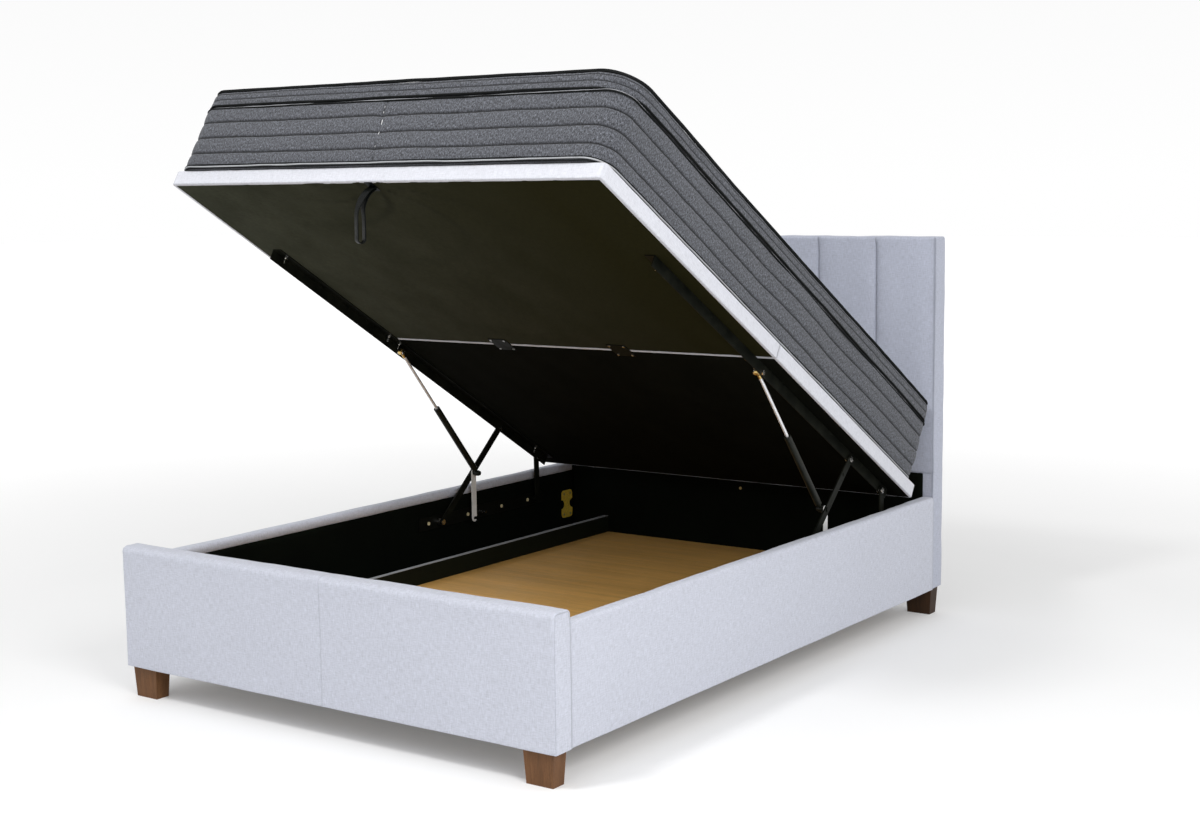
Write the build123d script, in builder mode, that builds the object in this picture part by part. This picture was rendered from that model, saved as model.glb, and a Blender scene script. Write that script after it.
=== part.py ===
from build123d import *
import math
import os

# Gas-lift storage bed, standing open: +Z up, +Y towards the headboard, +X the right-hand rail.
# The origin is on the floor, under the middle of the bed. All sizes are in millimetres.

# Mattress
mattress_width = 1524.0
mattress_length = 2032.0
mattress_corner_radius = 110.0
mattress_rear_setback = 28.0
mattress_foot_overhang = 11.0
border_height = 215.0
border_seam_count = 3
border_seam_depth = 5.0
border_seam_half_width = 6.0
border_foot_inset = 3.0
valley_height = 6.0
valley_depth = 14.0
pillow_height = 47.0
pillow_seam_count = 2
pillow_seam_depth = 3.5
pillow_seam_half_width = 4.0
pillow_edge_radius = 28.0
pillow_edge_steps = 4
crown_height = 6.0
crown_inset = 260.0
crown_corner_radius = 90.0
mattress_wall = 12.0

# Lift platform, in two halves
platform_side_margin = 5.0
platform_thickness = 43.0
head_panel_length = 1048.0
platform_corner_radius = 14.0
panel_joint_gap = 0.6
dust_cover_thickness = 1.0
deck_thickness = 9.0
border_cloth_thickness = 3.0
joint_lip_width = 7.0
slat_width = 60.0
slat_count = 3
frame_bar_width = 45.0

# Bed frame panels
rail_thickness = 40.0
rail_overhang = 4.5
rail_height = 318.0
rail_top_radius = 12.0
leg_height = 89.0
closed_foot_gap = 13.0
closed_head_gap = 10.0
closed_rest_gap = 1.0
footboard_thickness = 71.0
footboard_overhang = 6.0
footboard_rise = 36.0
footboard_top_radius = 18.0
headboard_thickness = 86.0
headboard_inset = 5.5
headboard_height = 1277.0
headboard_top_radius = 12.0
headboard_plain_height = 485.0
headboard_channel_count = 7
headboard_channel_depth = 13.0
headboard_channel_edge = 42.0
headboard_channel_crown = 3.0
channel_edge_share = 0.3
channel_depth_share = 0.4
headboard_foam = 26.0
panel_foam = 8.0
panel_bar_width = 75.0
footboard_bays = 3
headboard_bays = 4
panel_cloth = 3.0
top_foam = 12.0
inner_wrap_drop = 27.0
lining_thickness = 2.5
lining_hem = 6.0
headboard_lining_inset = 6.5

# Legs
leg_top_width = 94.0
leg_top_depth = 53.0
leg_foot_width = 82.0
leg_foot_depth = 45.0
leg_side_inset = 16.5
leg_front_inset = 11.0
leg_taper_outside = 6.0
leg_taper_front = 4.0

# Storage well
floor_height = 155.0
floor_board_thickness = 9.0
floor_head_board_length = 576.0
floor_board_gap = 0.8
side_well_width = 168.5
well_board_thickness = 18.0
well_board_rise = 61.0
well_edging_thickness = 1.0
base_sheet_thickness = 3.0
bearer_width = 60.0
bearer_height = 30.0
bearer_bays = 3
ledge_width = 30.0
ledge_height = 18.0
fit_gap = 0.5

# Lift mechanism, seen from the side
arm_width = 25.0
arm_thickness = 5.0
long_arm_length = 431.4
long_arm_open_angle = 41.9
platform_open_angle = 30.9
base_pivot_height = 306.0
arm_pivot_drop = 25.0
long_arm_pivot_setback = 367.4
rear_arm_pivot_setback = 110.8
mid_pivot_distance = 226.0
arm_rivet_setback = 63.0
spring_eye_setback = 995.0
spring_eye_drop = 23.5

# Lift mechanism, across the bed
base_plate_thickness = 4.0
arm_plane_offset = 19.5
arm_flange_gap = 3.0
link_gap = 1.0
link_thickness = 3.0
spring_plane_offset = 13.0
running_gap = 0.3
shaft_clearance = 0.05

# Base plate
base_plate_height = 45.0
base_plate_corner = 8.0
base_plate_front_reach = 98.0
base_plate_rear_reach = 60.0
screw_head_radius = 6.0
screw_head_height = 2.5
rear_screw_spacing = 33.0
lock_screw_spacings = (-66.0, 126.0)

# Pivots and pins
pivot_radius = 5.0
pivot_head_radius = 9.0
pivot_head_height = 3.4
spacer_radius = 11.0
mid_pin_head_radius = 8.0
mid_pin_head_height = 3.0
rivet_radius = 5.0
rivet_height = 2.0
lock_pin_radius = 4.0
lock_pin_reach = 62.0

# Lock link
link_width = 24.0
hook_slot_half_width = 5.5

# Top rail angle
top_rail_thickness = 3.0
top_rail_drop = 33.0
top_rail_width = 33.0
top_rail_rear_setback = 60.0
top_rail_front_setback = 1656.0
top_rail_bolt_setbacks = (1612.0, 1074.0, 1016.0, 160.0)
top_rail_bolt_inset = 17.0
bolt_radius = 3.0
bolt_nut_radius = 6.5
bolt_nut_height = 5.0
bolt_tail = 20.0

# Gas spring
cylinder_radius = 11.0
cylinder_wall = 1.6
cylinder_length = 305.0
cylinder_end_thickness = 10.0
rod_radius = 5.0
piston_radius = 9.35
piston_length = 20.0
eye_radius = 10.0
eye_width = 12.0
eye_neck = 14.0
eye_neck_radius = 5.5
rod_end_in_cylinder = 40.0
stud_nut_radius = 8.0
stud_nut_height = 5.0
stud_washer_height = 1.6

# Mending plates across the platform joint
mending_plate_width = 68.0
mending_plate_length = 73.0
mending_plate_thickness = 2.5
mending_plate_offset = 228.0
mending_screw_inset = 8.0
mending_screw_radius = 4.0
mending_screw_height = 1.5

# Corner brackets at the rail ends
bracket_height = 105.0
bracket_length = 66.0
bracket_thickness = 2.5
bracket_waist_radius = 17.0
bracket_middle_height = 253.0
bracket_end_gap = 4.0
bracket_screw_inset = 13.0
bracket_screw_radius = 4.5
bracket_screw_height = 1.8
headboard_bolt_offset = 20.0
headboard_bolt_height = 373.0
headboard_bolt_radius = 5.0

# Pull strap
strap_width = 26.0
strap_thickness = 2.5
strap_setback = 2021.0
strap_hang = 146.0
strap_belly = 20.0
strap_mouth = 9.0
strap_sweep = 52.0
strap_start_angle = 70.0
strap_anchor_thickness = 3.0
strap_anchor_length = 44.0

cut_overrun = 2.0

# Main places worked out from the sizes above
platform_width = mattress_width + 2 * platform_side_margin
platform_length = mattress_length + mattress_rear_setback - mattress_foot_overhang
rail_length = platform_length + closed_foot_gap + closed_head_gap
bed_length = footboard_thickness + rail_length + headboard_thickness
rail_outer = platform_width / 2 + rail_overhang
rail_inner = rail_outer - rail_thickness
well_half_width = rail_inner - side_well_width
rail_bottom = leg_height
rail_top = rail_bottom + rail_height
footboard_front = -bed_length / 2
footboard_back = footboard_front + footboard_thickness
footboard_half_width = rail_outer + footboard_overhang
footboard_top = rail_top + footboard_rise
headboard_front = footboard_back + rail_length
headboard_back = headboard_front + headboard_thickness
headboard_half_width = rail_outer - headboard_inset
inner_wrap_bottom = rail_top - inner_wrap_drop
lining_bottom = rail_bottom + lining_hem

# Linkage: the closed pose fixes the base pivot, the two open angles fix the open pose,
# and the rear base pivot lies where one arm length serves both poses.


def turned(angle):
    """Unit vector in the Y-Z plane, at an angle in degrees above +Y."""
    return math.cos(math.radians(angle)), math.sin(math.radians(angle))


def platform_point(origin, angle, setback, rise):
    """Point of the tilted platform: setback towards the foot from its rear bottom edge, rise square to it."""
    cos_tilt, sin_tilt = turned(angle)
    return (
        origin[0] - setback * cos_tilt + rise * sin_tilt,
        origin[1] + setback * sin_tilt + rise * cos_tilt,
    )


closed_origin = (headboard_front - closed_head_gap, rail_top + closed_rest_gap)
closed_long_pivot = platform_point(closed_origin, 0, long_arm_pivot_setback, -arm_pivot_drop)
closed_rear_pivot = platform_point(closed_origin, 0, rear_arm_pivot_setback, -arm_pivot_drop)
long_arm_rise = closed_long_pivot[1] - base_pivot_height
long_arm_run = math.sqrt(long_arm_length**2 - long_arm_rise**2)
front_pivot = (closed_long_pivot[0] - long_arm_run, base_pivot_height)
arm_way = turned(long_arm_open_angle)
long_pivot = (
    front_pivot[0] + long_arm_length * arm_way[0],
    front_pivot[1] + long_arm_length * arm_way[1],
)
pivot_shift = platform_point((0, 0), platform_open_angle, long_arm_pivot_setback, -arm_pivot_drop)
open_origin = (long_pivot[0] - pivot_shift[0], long_pivot[1] - pivot_shift[1])
rear_pivot = platform_point(open_origin, platform_open_angle, rear_arm_pivot_setback, -arm_pivot_drop)
pivot_travel = (closed_rear_pivot[0] - rear_pivot[0], closed_rear_pivot[1] - rear_pivot[1])
pivot_middle = ((closed_rear_pivot[0] + rear_pivot[0]) / 2, (closed_rear_pivot[1] + rear_pivot[1]) / 2)
rear_base_pivot = (
    pivot_middle[0] - (base_pivot_height - pivot_middle[1]) * pivot_travel[1] / pivot_travel[0],
    base_pivot_height,
)
rear_arm_length = math.dist(rear_pivot, rear_base_pivot)
mid_pivot = (
    front_pivot[0] + mid_pivot_distance * arm_way[0],
    front_pivot[1] + mid_pivot_distance * arm_way[1],
)
arm_rivet = (
    long_pivot[0] - arm_rivet_setback * arm_way[0],
    long_pivot[1] - arm_rivet_setback * arm_way[1],
)
spring_eye = platform_point(open_origin, platform_open_angle, spring_eye_setback, -spring_eye_drop)
spring_length = math.dist(spring_eye, mid_pivot)
spring_angle = math.degrees(math.atan2(spring_eye[1] - mid_pivot[1], spring_eye[0] - mid_pivot[0]))
lock_pin = (mid_pivot[0] + lock_pin_reach, base_pivot_height)
link_reach = math.dist(mid_pivot, lock_pin)

# Stations across the bed, for the right-hand side
base_plate_outer = rail_inner
base_plate_inner = base_plate_outer - base_plate_thickness
arm_outer = base_plate_inner - arm_plane_offset
arm_inner = arm_outer - arm_thickness
flange_outer = arm_inner - arm_flange_gap
flange_inner = flange_outer - top_rail_thickness
link_outer = arm_inner - link_gap
link_inner = link_outer - link_thickness
spring_axis = flange_inner - spring_plane_offset

tilt = turned(platform_open_angle)
platform_plane = Plane(
    origin=(0, open_origin[0], open_origin[1]), x_dir=(1, 0, 0), z_dir=(0, tilt[1], tilt[0])
)

os.makedirs("parts", exist_ok=True)


def write_piece(piece, name):
    """Labels one finished piece and writes it under its name."""
    piece.part.label = name
    export_step(piece.part, f"parts/{name}.step")


def across(side, near, far):
    """Interval along X for the left (-1) or right (1) side of the bed."""
    return (near, far) if side > 0 else (-far, -near)


def add_slab(x_span, y_span, z_span, mode=Mode.ADD):
    """Box between limits along X, Y and Z, added to the part being built."""
    with BuildSketch(Plane.XY.offset(z_span[0])) as outline:
        with Locations(((x_span[0] + x_span[1]) / 2, (y_span[0] + y_span[1]) / 2)):
            Rectangle(x_span[1] - x_span[0], y_span[1] - y_span[0])
    extrude(outline.sketch, amount=z_span[1] - z_span[0], mode=mode)


def add_platform_slab(x_span, setbacks, rises, mode=Mode.ADD):
    """Box in the platform's own frame: setbacks towards the foot, rises above its underside."""
    with BuildSketch(platform_plane.offset(rises[0])) as outline:
        with Locations(((x_span[0] + x_span[1]) / 2, -(setbacks[0] + setbacks[1]) / 2)):
            Rectangle(x_span[1] - x_span[0], setbacks[1] - setbacks[0])
    extrude(outline.sketch, amount=rises[1] - rises[0], mode=mode)


def add_platform_panel(setbacks, rises, inset, rounds_foot, mode=Mode.ADD):
    """Slab in the platform's frame, inset from its outline, with its two outer corners rounded."""
    with BuildSketch(platform_plane.offset(rises[0])) as outline:
        with Locations((0, -(setbacks[0] + setbacks[1]) / 2)):
            Rectangle(platform_width - 2 * inset, setbacks[1] - setbacks[0])
        outer_end = vertices().group_by(Axis.Y)[0 if rounds_foot else -1]
        fillet(outer_end, platform_corner_radius - inset)
    extrude(outline.sketch, amount=rises[1] - rises[0], mode=mode)


def add_disc(x_span, point, radius, mode=Mode.ADD):
    """Round piece along X, between two stations, at a point of the Y-Z plane."""
    with BuildSketch(Plane.YZ.offset(x_span[0])) as outline:
        with Locations(point):
            Circle(radius)
    extrude(outline.sketch, amount=x_span[1] - x_span[0], mode=mode)


def add_hexagon(x_span, point, radius, mode=Mode.ADD):
    """Hexagonal nut or head along X."""
    with BuildSketch(Plane.YZ.offset(x_span[0])) as outline:
        with Locations(point):
            RegularPolygon(radius, 6)
    extrude(outline.sketch, amount=x_span[1] - x_span[0], mode=mode)


def add_arm(x_span, start, end, width):
    """Flat bar with round ends, from one pivot to another."""
    bar_angle = math.degrees(math.atan2(end[1] - start[1], end[0] - start[0]))
    with BuildSketch(Plane.YZ.offset(x_span[0])) as outline:
        with Locations(((start[0] + end[0]) / 2, (start[1] + end[1]) / 2)):
            SlotCenterToCenter(math.dist(start, end), width, rotation=bar_angle)
    extrude(outline.sketch, amount=x_span[1] - x_span[0])


def cut_bays(half_width, y_span, z_span, bays):
    """Cuts a row of open bays through a wooden panel frame, bars left all round each bay."""
    bay_width = (2 * half_width - (bays + 1) * panel_bar_width) / bays
    for bay in range(bays):
        bay_left = -half_width + panel_bar_width + bay * (bay_width + panel_bar_width)
        add_slab(
            (bay_left, bay_left + bay_width),
            (y_span[0] - cut_overrun, y_span[1] + cut_overrun),
            (z_span[0] + panel_bar_width, z_span[1] - panel_bar_width),
            mode=Mode.SUBTRACT,
        )


# Footboard: wooden box frame, upholstery over front, top and ends, dark lining inside
with BuildPart() as footboard_upholstery:
    with BuildSketch(Plane.YZ.offset(-footboard_half_width)):
        with BuildLine():
            Polyline(
                (footboard_front, rail_bottom),
                (footboard_back, rail_bottom),
                (footboard_back, footboard_top),
                (footboard_front, footboard_top),
                close=True,
            )
        make_face()
        fillet(vertices().group_by(Axis.Y)[-1], footboard_top_radius)
    extrude(amount=2 * footboard_half_width)
    add_slab(
        (-footboard_half_width + panel_foam, footboard_half_width - panel_foam),
        (footboard_front + panel_foam, footboard_back - panel_cloth),
        (rail_bottom + panel_cloth, footboard_top - top_foam),
        mode=Mode.SUBTRACT,
    )
    add_slab(
        (-rail_inner, rail_inner),
        (footboard_back - panel_cloth - cut_overrun, footboard_back + cut_overrun),
        (rail_bottom - cut_overrun, inner_wrap_bottom),
        mode=Mode.SUBTRACT,
    )
write_piece(footboard_upholstery, "footboard_upholstery")

with BuildPart() as footboard_frame:
    add_slab(
        (-footboard_half_width + panel_foam, footboard_half_width - panel_foam),
        (footboard_front + panel_foam, footboard_back - panel_cloth),
        (rail_bottom + panel_cloth, footboard_top - top_foam),
    )
    cut_bays(
        footboard_half_width - panel_foam,
        (footboard_front, footboard_back),
        (rail_bottom + panel_cloth, footboard_top - top_foam),
        footboard_bays,
    )
write_piece(footboard_frame, "footboard_frame")

with BuildPart() as footboard_lining:
    add_slab(
        (-rail_inner + fit_gap, rail_inner - fit_gap),
        (footboard_back - panel_cloth, footboard_back - panel_cloth + lining_thickness),
        (lining_bottom, inner_wrap_bottom),
    )
write_piece(footboard_lining, "footboard_lining")

# Side rails: board core, upholstery turned over the top and down inside, dark lining below it
rail_core_inner = rail_inner + panel_cloth
rail_core_outer = rail_outer - panel_foam
for side, side_name in ((-1, "left"), (1, "right")):
    with BuildPart() as rail_upholstery:
        with BuildSketch(Plane.XZ.offset(-footboard_back)):
            with Locations((side * (rail_inner + rail_outer) / 2, (rail_bottom + rail_top) / 2)):
                Rectangle(rail_thickness, rail_height)
            fillet(vertices().group_by(Axis.Y)[-1], rail_top_radius)
        extrude(amount=-rail_length)
        add_slab(
            across(side, rail_core_inner, rail_core_outer),
            (footboard_back - cut_overrun, headboard_front + cut_overrun),
            (rail_bottom + panel_cloth, rail_top - top_foam),
            mode=Mode.SUBTRACT,
        )
        add_slab(
            across(side, rail_inner - cut_overrun, rail_core_inner),
            (footboard_back - cut_overrun, headboard_front + cut_overrun),
            (rail_bottom - cut_overrun, inner_wrap_bottom),
            mode=Mode.SUBTRACT,
        )
    write_piece(rail_upholstery, f"side_rail_upholstery_{side_name}")

    with BuildPart() as rail_frame:
        add_slab(
            across(side, rail_core_inner, rail_core_outer),
            (footboard_back, headboard_front),
            (rail_bottom + panel_cloth, rail_top - top_foam),
        )
    write_piece(rail_frame, f"side_rail_frame_{side_name}")

    with BuildPart() as rail_lining:
        add_slab(
            across(side, rail_inner, rail_core_inner),
            (footboard_back, headboard_front),
            (lining_bottom, inner_wrap_bottom),
        )
    write_piece(rail_lining, f"side_rail_lining_{side_name}")

# Headboard: frame, channelled upholstery above a plain lower band, cloth on the back, dark lining
channel_width = 2 * headboard_half_width / headboard_channel_count
seam_line = headboard_front + headboard_channel_depth
crown_line = headboard_front + headboard_channel_crown
frame_front = headboard_front + headboard_foam
frame_half_width = headboard_half_width - panel_foam
frame_top = headboard_height - top_foam
with BuildPart() as headboard_upholstery:
    with BuildSketch(Plane.XY.offset(headboard_plain_height)):
        with BuildLine():
            for channel in range(headboard_channel_count):
                channel_middle = -headboard_half_width + (channel + 1 / 2) * channel_width
                for side in (-1, 1):
                    ThreePointArc(
                        (channel_middle + side * channel_width / 2, seam_line),
                        (
                            channel_middle
                            + side * (channel_width / 2 - channel_edge_share * headboard_channel_edge),
                            crown_line + channel_depth_share * (seam_line - crown_line),
                        ),
                        (channel_middle + side * (channel_width / 2 - headboard_channel_edge), crown_line),
                    )
                ThreePointArc(
                    (channel_middle - channel_width / 2 + headboard_channel_edge, crown_line),
                    (channel_middle, headboard_front),
                    (channel_middle + channel_width / 2 - headboard_channel_edge, crown_line),
                )
            Polyline(
                (headboard_half_width, seam_line),
                (headboard_half_width, headboard_back - panel_cloth),
                (-headboard_half_width, headboard_back - panel_cloth),
                (-headboard_half_width, seam_line),
            )
        make_face()
    extrude(amount=headboard_height - headboard_plain_height)
    add_slab(
        (-headboard_half_width, headboard_half_width),
        (headboard_front, headboard_back - panel_cloth),
        (rail_bottom, headboard_plain_height),
    )
    with BuildSketch(Plane.YZ.offset(-headboard_half_width)):
        with Locations(((headboard_front + headboard_back) / 2, (rail_bottom + headboard_height) / 2)):
            Rectangle(headboard_thickness, headboard_height - rail_bottom)
        fillet(vertices().group_by(Axis.Y)[-1], headboard_top_radius)
    extrude(amount=2 * headboard_half_width, mode=Mode.INTERSECT)
    add_slab(
        (-frame_half_width, frame_half_width),
        (frame_front, headboard_back + cut_overrun),
        (rail_bottom + panel_cloth, frame_top),
        mode=Mode.SUBTRACT,
    )
write_piece(headboard_upholstery, "headboard_upholstery")

with BuildPart() as headboard_frame:
    add_slab(
        (-frame_half_width, frame_half_width),
        (frame_front, headboard_back - panel_cloth),
        (rail_bottom + panel_cloth, frame_top),
    )
    cut_bays(
        frame_half_width,
        (frame_front, headboard_back),
        (rail_bottom + panel_cloth, frame_top),
        headboard_bays,
    )
write_piece(headboard_frame, "headboard_frame")

with BuildPart() as headboard_back_cloth:
    add_slab(
        (-frame_half_width, frame_half_width),
        (headboard_back - panel_cloth, headboard_back),
        (rail_bottom + panel_cloth, frame_top),
    )
write_piece(headboard_back_cloth, "headboard_back_cloth")

headboard_lining_front = headboard_front - lining_thickness
with BuildPart() as headboard_lining:
    add_slab(
        (-rail_inner + headboard_lining_inset, rail_inner - headboard_lining_inset),
        (headboard_lining_front, headboard_front),
        (lining_bottom, headboard_plain_height),
    )
write_piece(headboard_lining, "headboard_lining")

# Legs: square-cornered wooden blocks that taper on their outside and front faces
head_leg_front = headboard_front + leg_front_inset - leg_taper_front
foot_leg_front = footboard_front + leg_front_inset
for end_name, front_face in (("foot", foot_leg_front), ("head", head_leg_front)):
    for side, side_name in ((-1, "left"), (1, "right")):
        outside_face = rail_outer + footboard_overhang - leg_side_inset
        with BuildPart() as leg:
            with BuildSketch(Plane.XY.offset(leg_height)):
                with Locations((side * (outside_face - leg_top_width / 2), front_face + leg_top_depth / 2)):
                    Rectangle(leg_top_width, leg_top_depth)
            with BuildSketch(Plane.XY):
                foot_x = outside_face - leg_taper_outside - leg_foot_width / 2
                foot_y = front_face + leg_taper_front + leg_foot_depth / 2
                with Locations((side * foot_x, foot_y)):
                    Rectangle(leg_foot_width, leg_foot_depth)
            loft()
        write_piece(leg, f"leg_{end_name}_{side_name}")

# Storage floor: ledges on the rails, cross bearers, a dark base sheet, floor boards and well boards
floor_underside = floor_height - floor_board_thickness
bearer_top = floor_underside - base_sheet_thickness
bearer_bottom = bearer_top - bearer_height
well_front = footboard_back
well_rear = headboard_lining_front
with BuildPart() as floor_ledges:
    for side in (-1, 1):
        add_slab(
            across(side, rail_inner - ledge_width, rail_inner),
            (well_front + fit_gap, well_rear - fit_gap),
            (bearer_bottom - ledge_height, bearer_bottom),
        )
write_piece(floor_ledges, "floor_ledges")

head_seam = well_rear - floor_head_board_length
middle_seam = (well_front + head_seam) / 2
bearer_stops = (
    well_front + fit_gap + bearer_width / 2,
    middle_seam,
    head_seam,
    well_rear - fit_gap - bearer_width / 2,
)
with BuildPart() as cross_bearers:
    for bay_start, bay_end in zip(bearer_stops, bearer_stops[1:]):
        for bay in range(bearer_bays):
            place = bay_start + bay * (bay_end - bay_start) / bearer_bays
            add_slab(
                (-rail_inner + fit_gap, rail_inner - fit_gap),
                (place - bearer_width / 2, place + bearer_width / 2),
                (bearer_bottom, bearer_top),
            )
    add_slab(
        (-rail_inner + fit_gap, rail_inner - fit_gap),
        (bearer_stops[-1] - bearer_width / 2, bearer_stops[-1] + bearer_width / 2),
        (bearer_bottom, bearer_top),
    )
write_piece(cross_bearers, "cross_bearers")

with BuildPart() as base_sheet:
    add_slab(
        (-rail_inner + fit_gap, rail_inner - fit_gap),
        (well_front + fit_gap, well_rear - fit_gap),
        (bearer_top, floor_underside),
    )
write_piece(base_sheet, "base_sheet")

board_ends = (well_front, middle_seam, head_seam, well_rear)
with BuildPart() as floor_boards:
    for board_start, board_end in zip(board_ends, board_ends[1:]):
        add_slab(
            (-well_half_width, well_half_width),
            (board_start + floor_board_gap / 2, board_end - floor_board_gap / 2),
            (floor_underside, floor_height),
        )
write_piece(floor_boards, "floor_boards")

well_board_outer = well_half_width + well_board_thickness
well_board_top = floor_height + well_board_rise
for side, side_name in ((-1, "left"), (1, "right")):
    with BuildPart() as well_board:
        add_slab(
            across(side, well_half_width, well_board_outer),
            (well_front + fit_gap, well_rear - fit_gap),
            (floor_underside, well_board_top),
        )
    write_piece(well_board, f"well_board_{side_name}")

with BuildPart() as well_board_edging:
    for side in (-1, 1):
        add_slab(
            across(side, well_half_width, well_board_outer),
            (well_front + fit_gap, well_rear - fit_gap),
            (well_board_top, well_board_top + well_edging_thickness),
        )
write_piece(well_board_edging, "well_board_edging")

# Corner brackets: waisted plates on the inner faces of the rails, by the headboard and footboard
bracket_middles = (
    footboard_back + bracket_end_gap + bracket_length / 2,
    headboard_lining_front - bracket_end_gap - bracket_length / 2,
)
bracket_screw_y = bracket_length / 2 - bracket_screw_inset
bracket_screw_z = bracket_height / 2 - bracket_screw_inset
with BuildPart() as corner_brackets:
    for side in (-1, 1):
        plate_span = across(side, rail_inner - bracket_thickness, rail_inner)
        with BuildSketch(Plane.YZ.offset(plate_span[0])):
            for middle in bracket_middles:
                with Locations((middle, bracket_middle_height)):
                    RectangleRounded(bracket_length, bracket_height, bracket_screw_inset)
            for middle in bracket_middles:
                with Locations(
                    (middle - bracket_length / 2, bracket_middle_height),
                    (middle + bracket_length / 2, bracket_middle_height),
                ):
                    Circle(bracket_waist_radius, mode=Mode.SUBTRACT)
        extrude(amount=bracket_thickness)
write_piece(corner_brackets, "corner_brackets")

with BuildPart() as bracket_screws:
    for side in (-1, 1):
        head_span = across(
            side, rail_inner - bracket_thickness - bracket_screw_height, rail_inner - bracket_thickness
        )
        for middle in bracket_middles:
            for y_way in (-1, 1):
                for z_way in (-1, 1):
                    screw_point = (
                        middle + y_way * bracket_screw_y,
                        bracket_middle_height + z_way * bracket_screw_z,
                    )
                    add_disc(head_span, screw_point, bracket_screw_radius)
    with BuildSketch(Plane.XZ.offset(-headboard_lining_front)):
        with Locations((headboard_bolt_offset, headboard_bolt_height)):
            Circle(headboard_bolt_radius)
    extrude(amount=screw_head_height)
write_piece(bracket_screws, "bracket_screws")

# Lift base plates, fixed to the rails inside, with the long arms' pivots and the lock pins
base_plate_front = front_pivot[0] - base_plate_front_reach
base_plate_rear = rear_base_pivot[0] + base_plate_rear_reach
base_plate_middle = (base_plate_front + base_plate_rear) / 2
base_screw_places = (
    (base_plate_front + front_pivot[0]) / 2,
    lock_pin[0] + lock_screw_spacings[0],
    lock_pin[0] + lock_screw_spacings[1],
    rear_base_pivot[0] - rear_screw_spacing,
    rear_base_pivot[0] + rear_screw_spacing,
)
for side, side_name in ((-1, "left"), (1, "right")):
    with BuildPart() as base_plate:
        plate_span = across(side, base_plate_inner, base_plate_outer)
        with BuildSketch(Plane.YZ.offset(plate_span[0])):
            with Locations((base_plate_middle, base_pivot_height)):
                RectangleRounded(base_plate_rear - base_plate_front, base_plate_height, base_plate_corner)
        extrude(amount=base_plate_thickness)
    write_piece(base_plate, f"lift_base_plate_{side_name}")

with BuildPart() as base_plate_screws:
    for side in (-1, 1):
        for place in base_screw_places:
            head_span = across(side, base_plate_inner - screw_head_height, base_plate_inner)
            add_disc(head_span, (place, base_pivot_height), screw_head_radius)
write_piece(base_plate_screws, "base_plate_screws")

with BuildPart() as base_pivots:
    for side in (-1, 1):
        add_disc(across(side, arm_outer + running_gap, base_plate_inner), front_pivot, spacer_radius)
        add_disc(across(side, arm_inner - running_gap, base_plate_inner), front_pivot, pivot_radius)
        head_span = across(side, arm_inner - running_gap - pivot_head_height, arm_inner - running_gap)
        add_disc(head_span, front_pivot, pivot_head_radius)
        add_disc(across(side, link_inner - running_gap, base_plate_inner), lock_pin, lock_pin_radius)
write_piece(base_pivots, "base_pivots")

# Long arms: flat bars with the mid pin that carries the lock link
bore_radius = pivot_radius + shaft_clearance
mid_pin_end = link_inner - running_gap
for side, side_name in ((-1, "left"), (1, "right")):
    with BuildPart() as long_arm:
        bar_span = across(side, arm_inner, arm_outer)
        add_arm(bar_span, front_pivot, long_pivot, arm_width)
        for pivot in (front_pivot, long_pivot):
            add_disc(bar_span, pivot, bore_radius, mode=Mode.SUBTRACT)
        add_disc(across(side, mid_pin_end, arm_outer), mid_pivot, pivot_radius)
        add_disc(across(side, mid_pin_end - mid_pin_head_height, mid_pin_end), mid_pivot, mid_pin_head_radius)
        add_disc(across(side, arm_outer, arm_outer + mid_pin_head_height), mid_pivot, mid_pin_head_radius)
        for rivet_span in (
            across(side, arm_inner - rivet_height, arm_inner),
            across(side, arm_outer, arm_outer + rivet_height),
        ):
            add_disc(rivet_span, arm_rivet, rivet_radius)
    write_piece(long_arm, f"long_arm_{side_name}")

    # Rear arms: their lower pin stops just short of the base plate
    with BuildPart() as rear_arm:
        add_arm(bar_span, rear_base_pivot, rear_pivot, arm_width)
        add_disc(bar_span, rear_pivot, bore_radius, mode=Mode.SUBTRACT)
        add_disc(across(side, arm_outer, base_plate_inner - running_gap), rear_base_pivot, spacer_radius)
    write_piece(rear_arm, f"rear_arm_{side_name}")

    # Lock links: hooked straps that hang from the mid pins
    with BuildPart() as lock_link:
        link_span = across(side, link_inner, link_outer)
        link_foot = (mid_pivot[0], mid_pivot[1] - link_reach)
        add_arm(link_span, link_foot, mid_pivot, link_width)
        add_disc(link_span, mid_pivot, bore_radius, mode=Mode.SUBTRACT)
        with BuildSketch(Plane.YZ.offset(link_span[0])):
            with Locations((link_foot[0] + link_width / 2, link_foot[1])):
                Rectangle(link_width, 2 * hook_slot_half_width)
        extrude(amount=link_thickness, mode=Mode.SUBTRACT)
        add_disc(link_span, link_foot, hook_slot_half_width, mode=Mode.SUBTRACT)
    write_piece(lock_link, f"lock_link_{side_name}")

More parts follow.
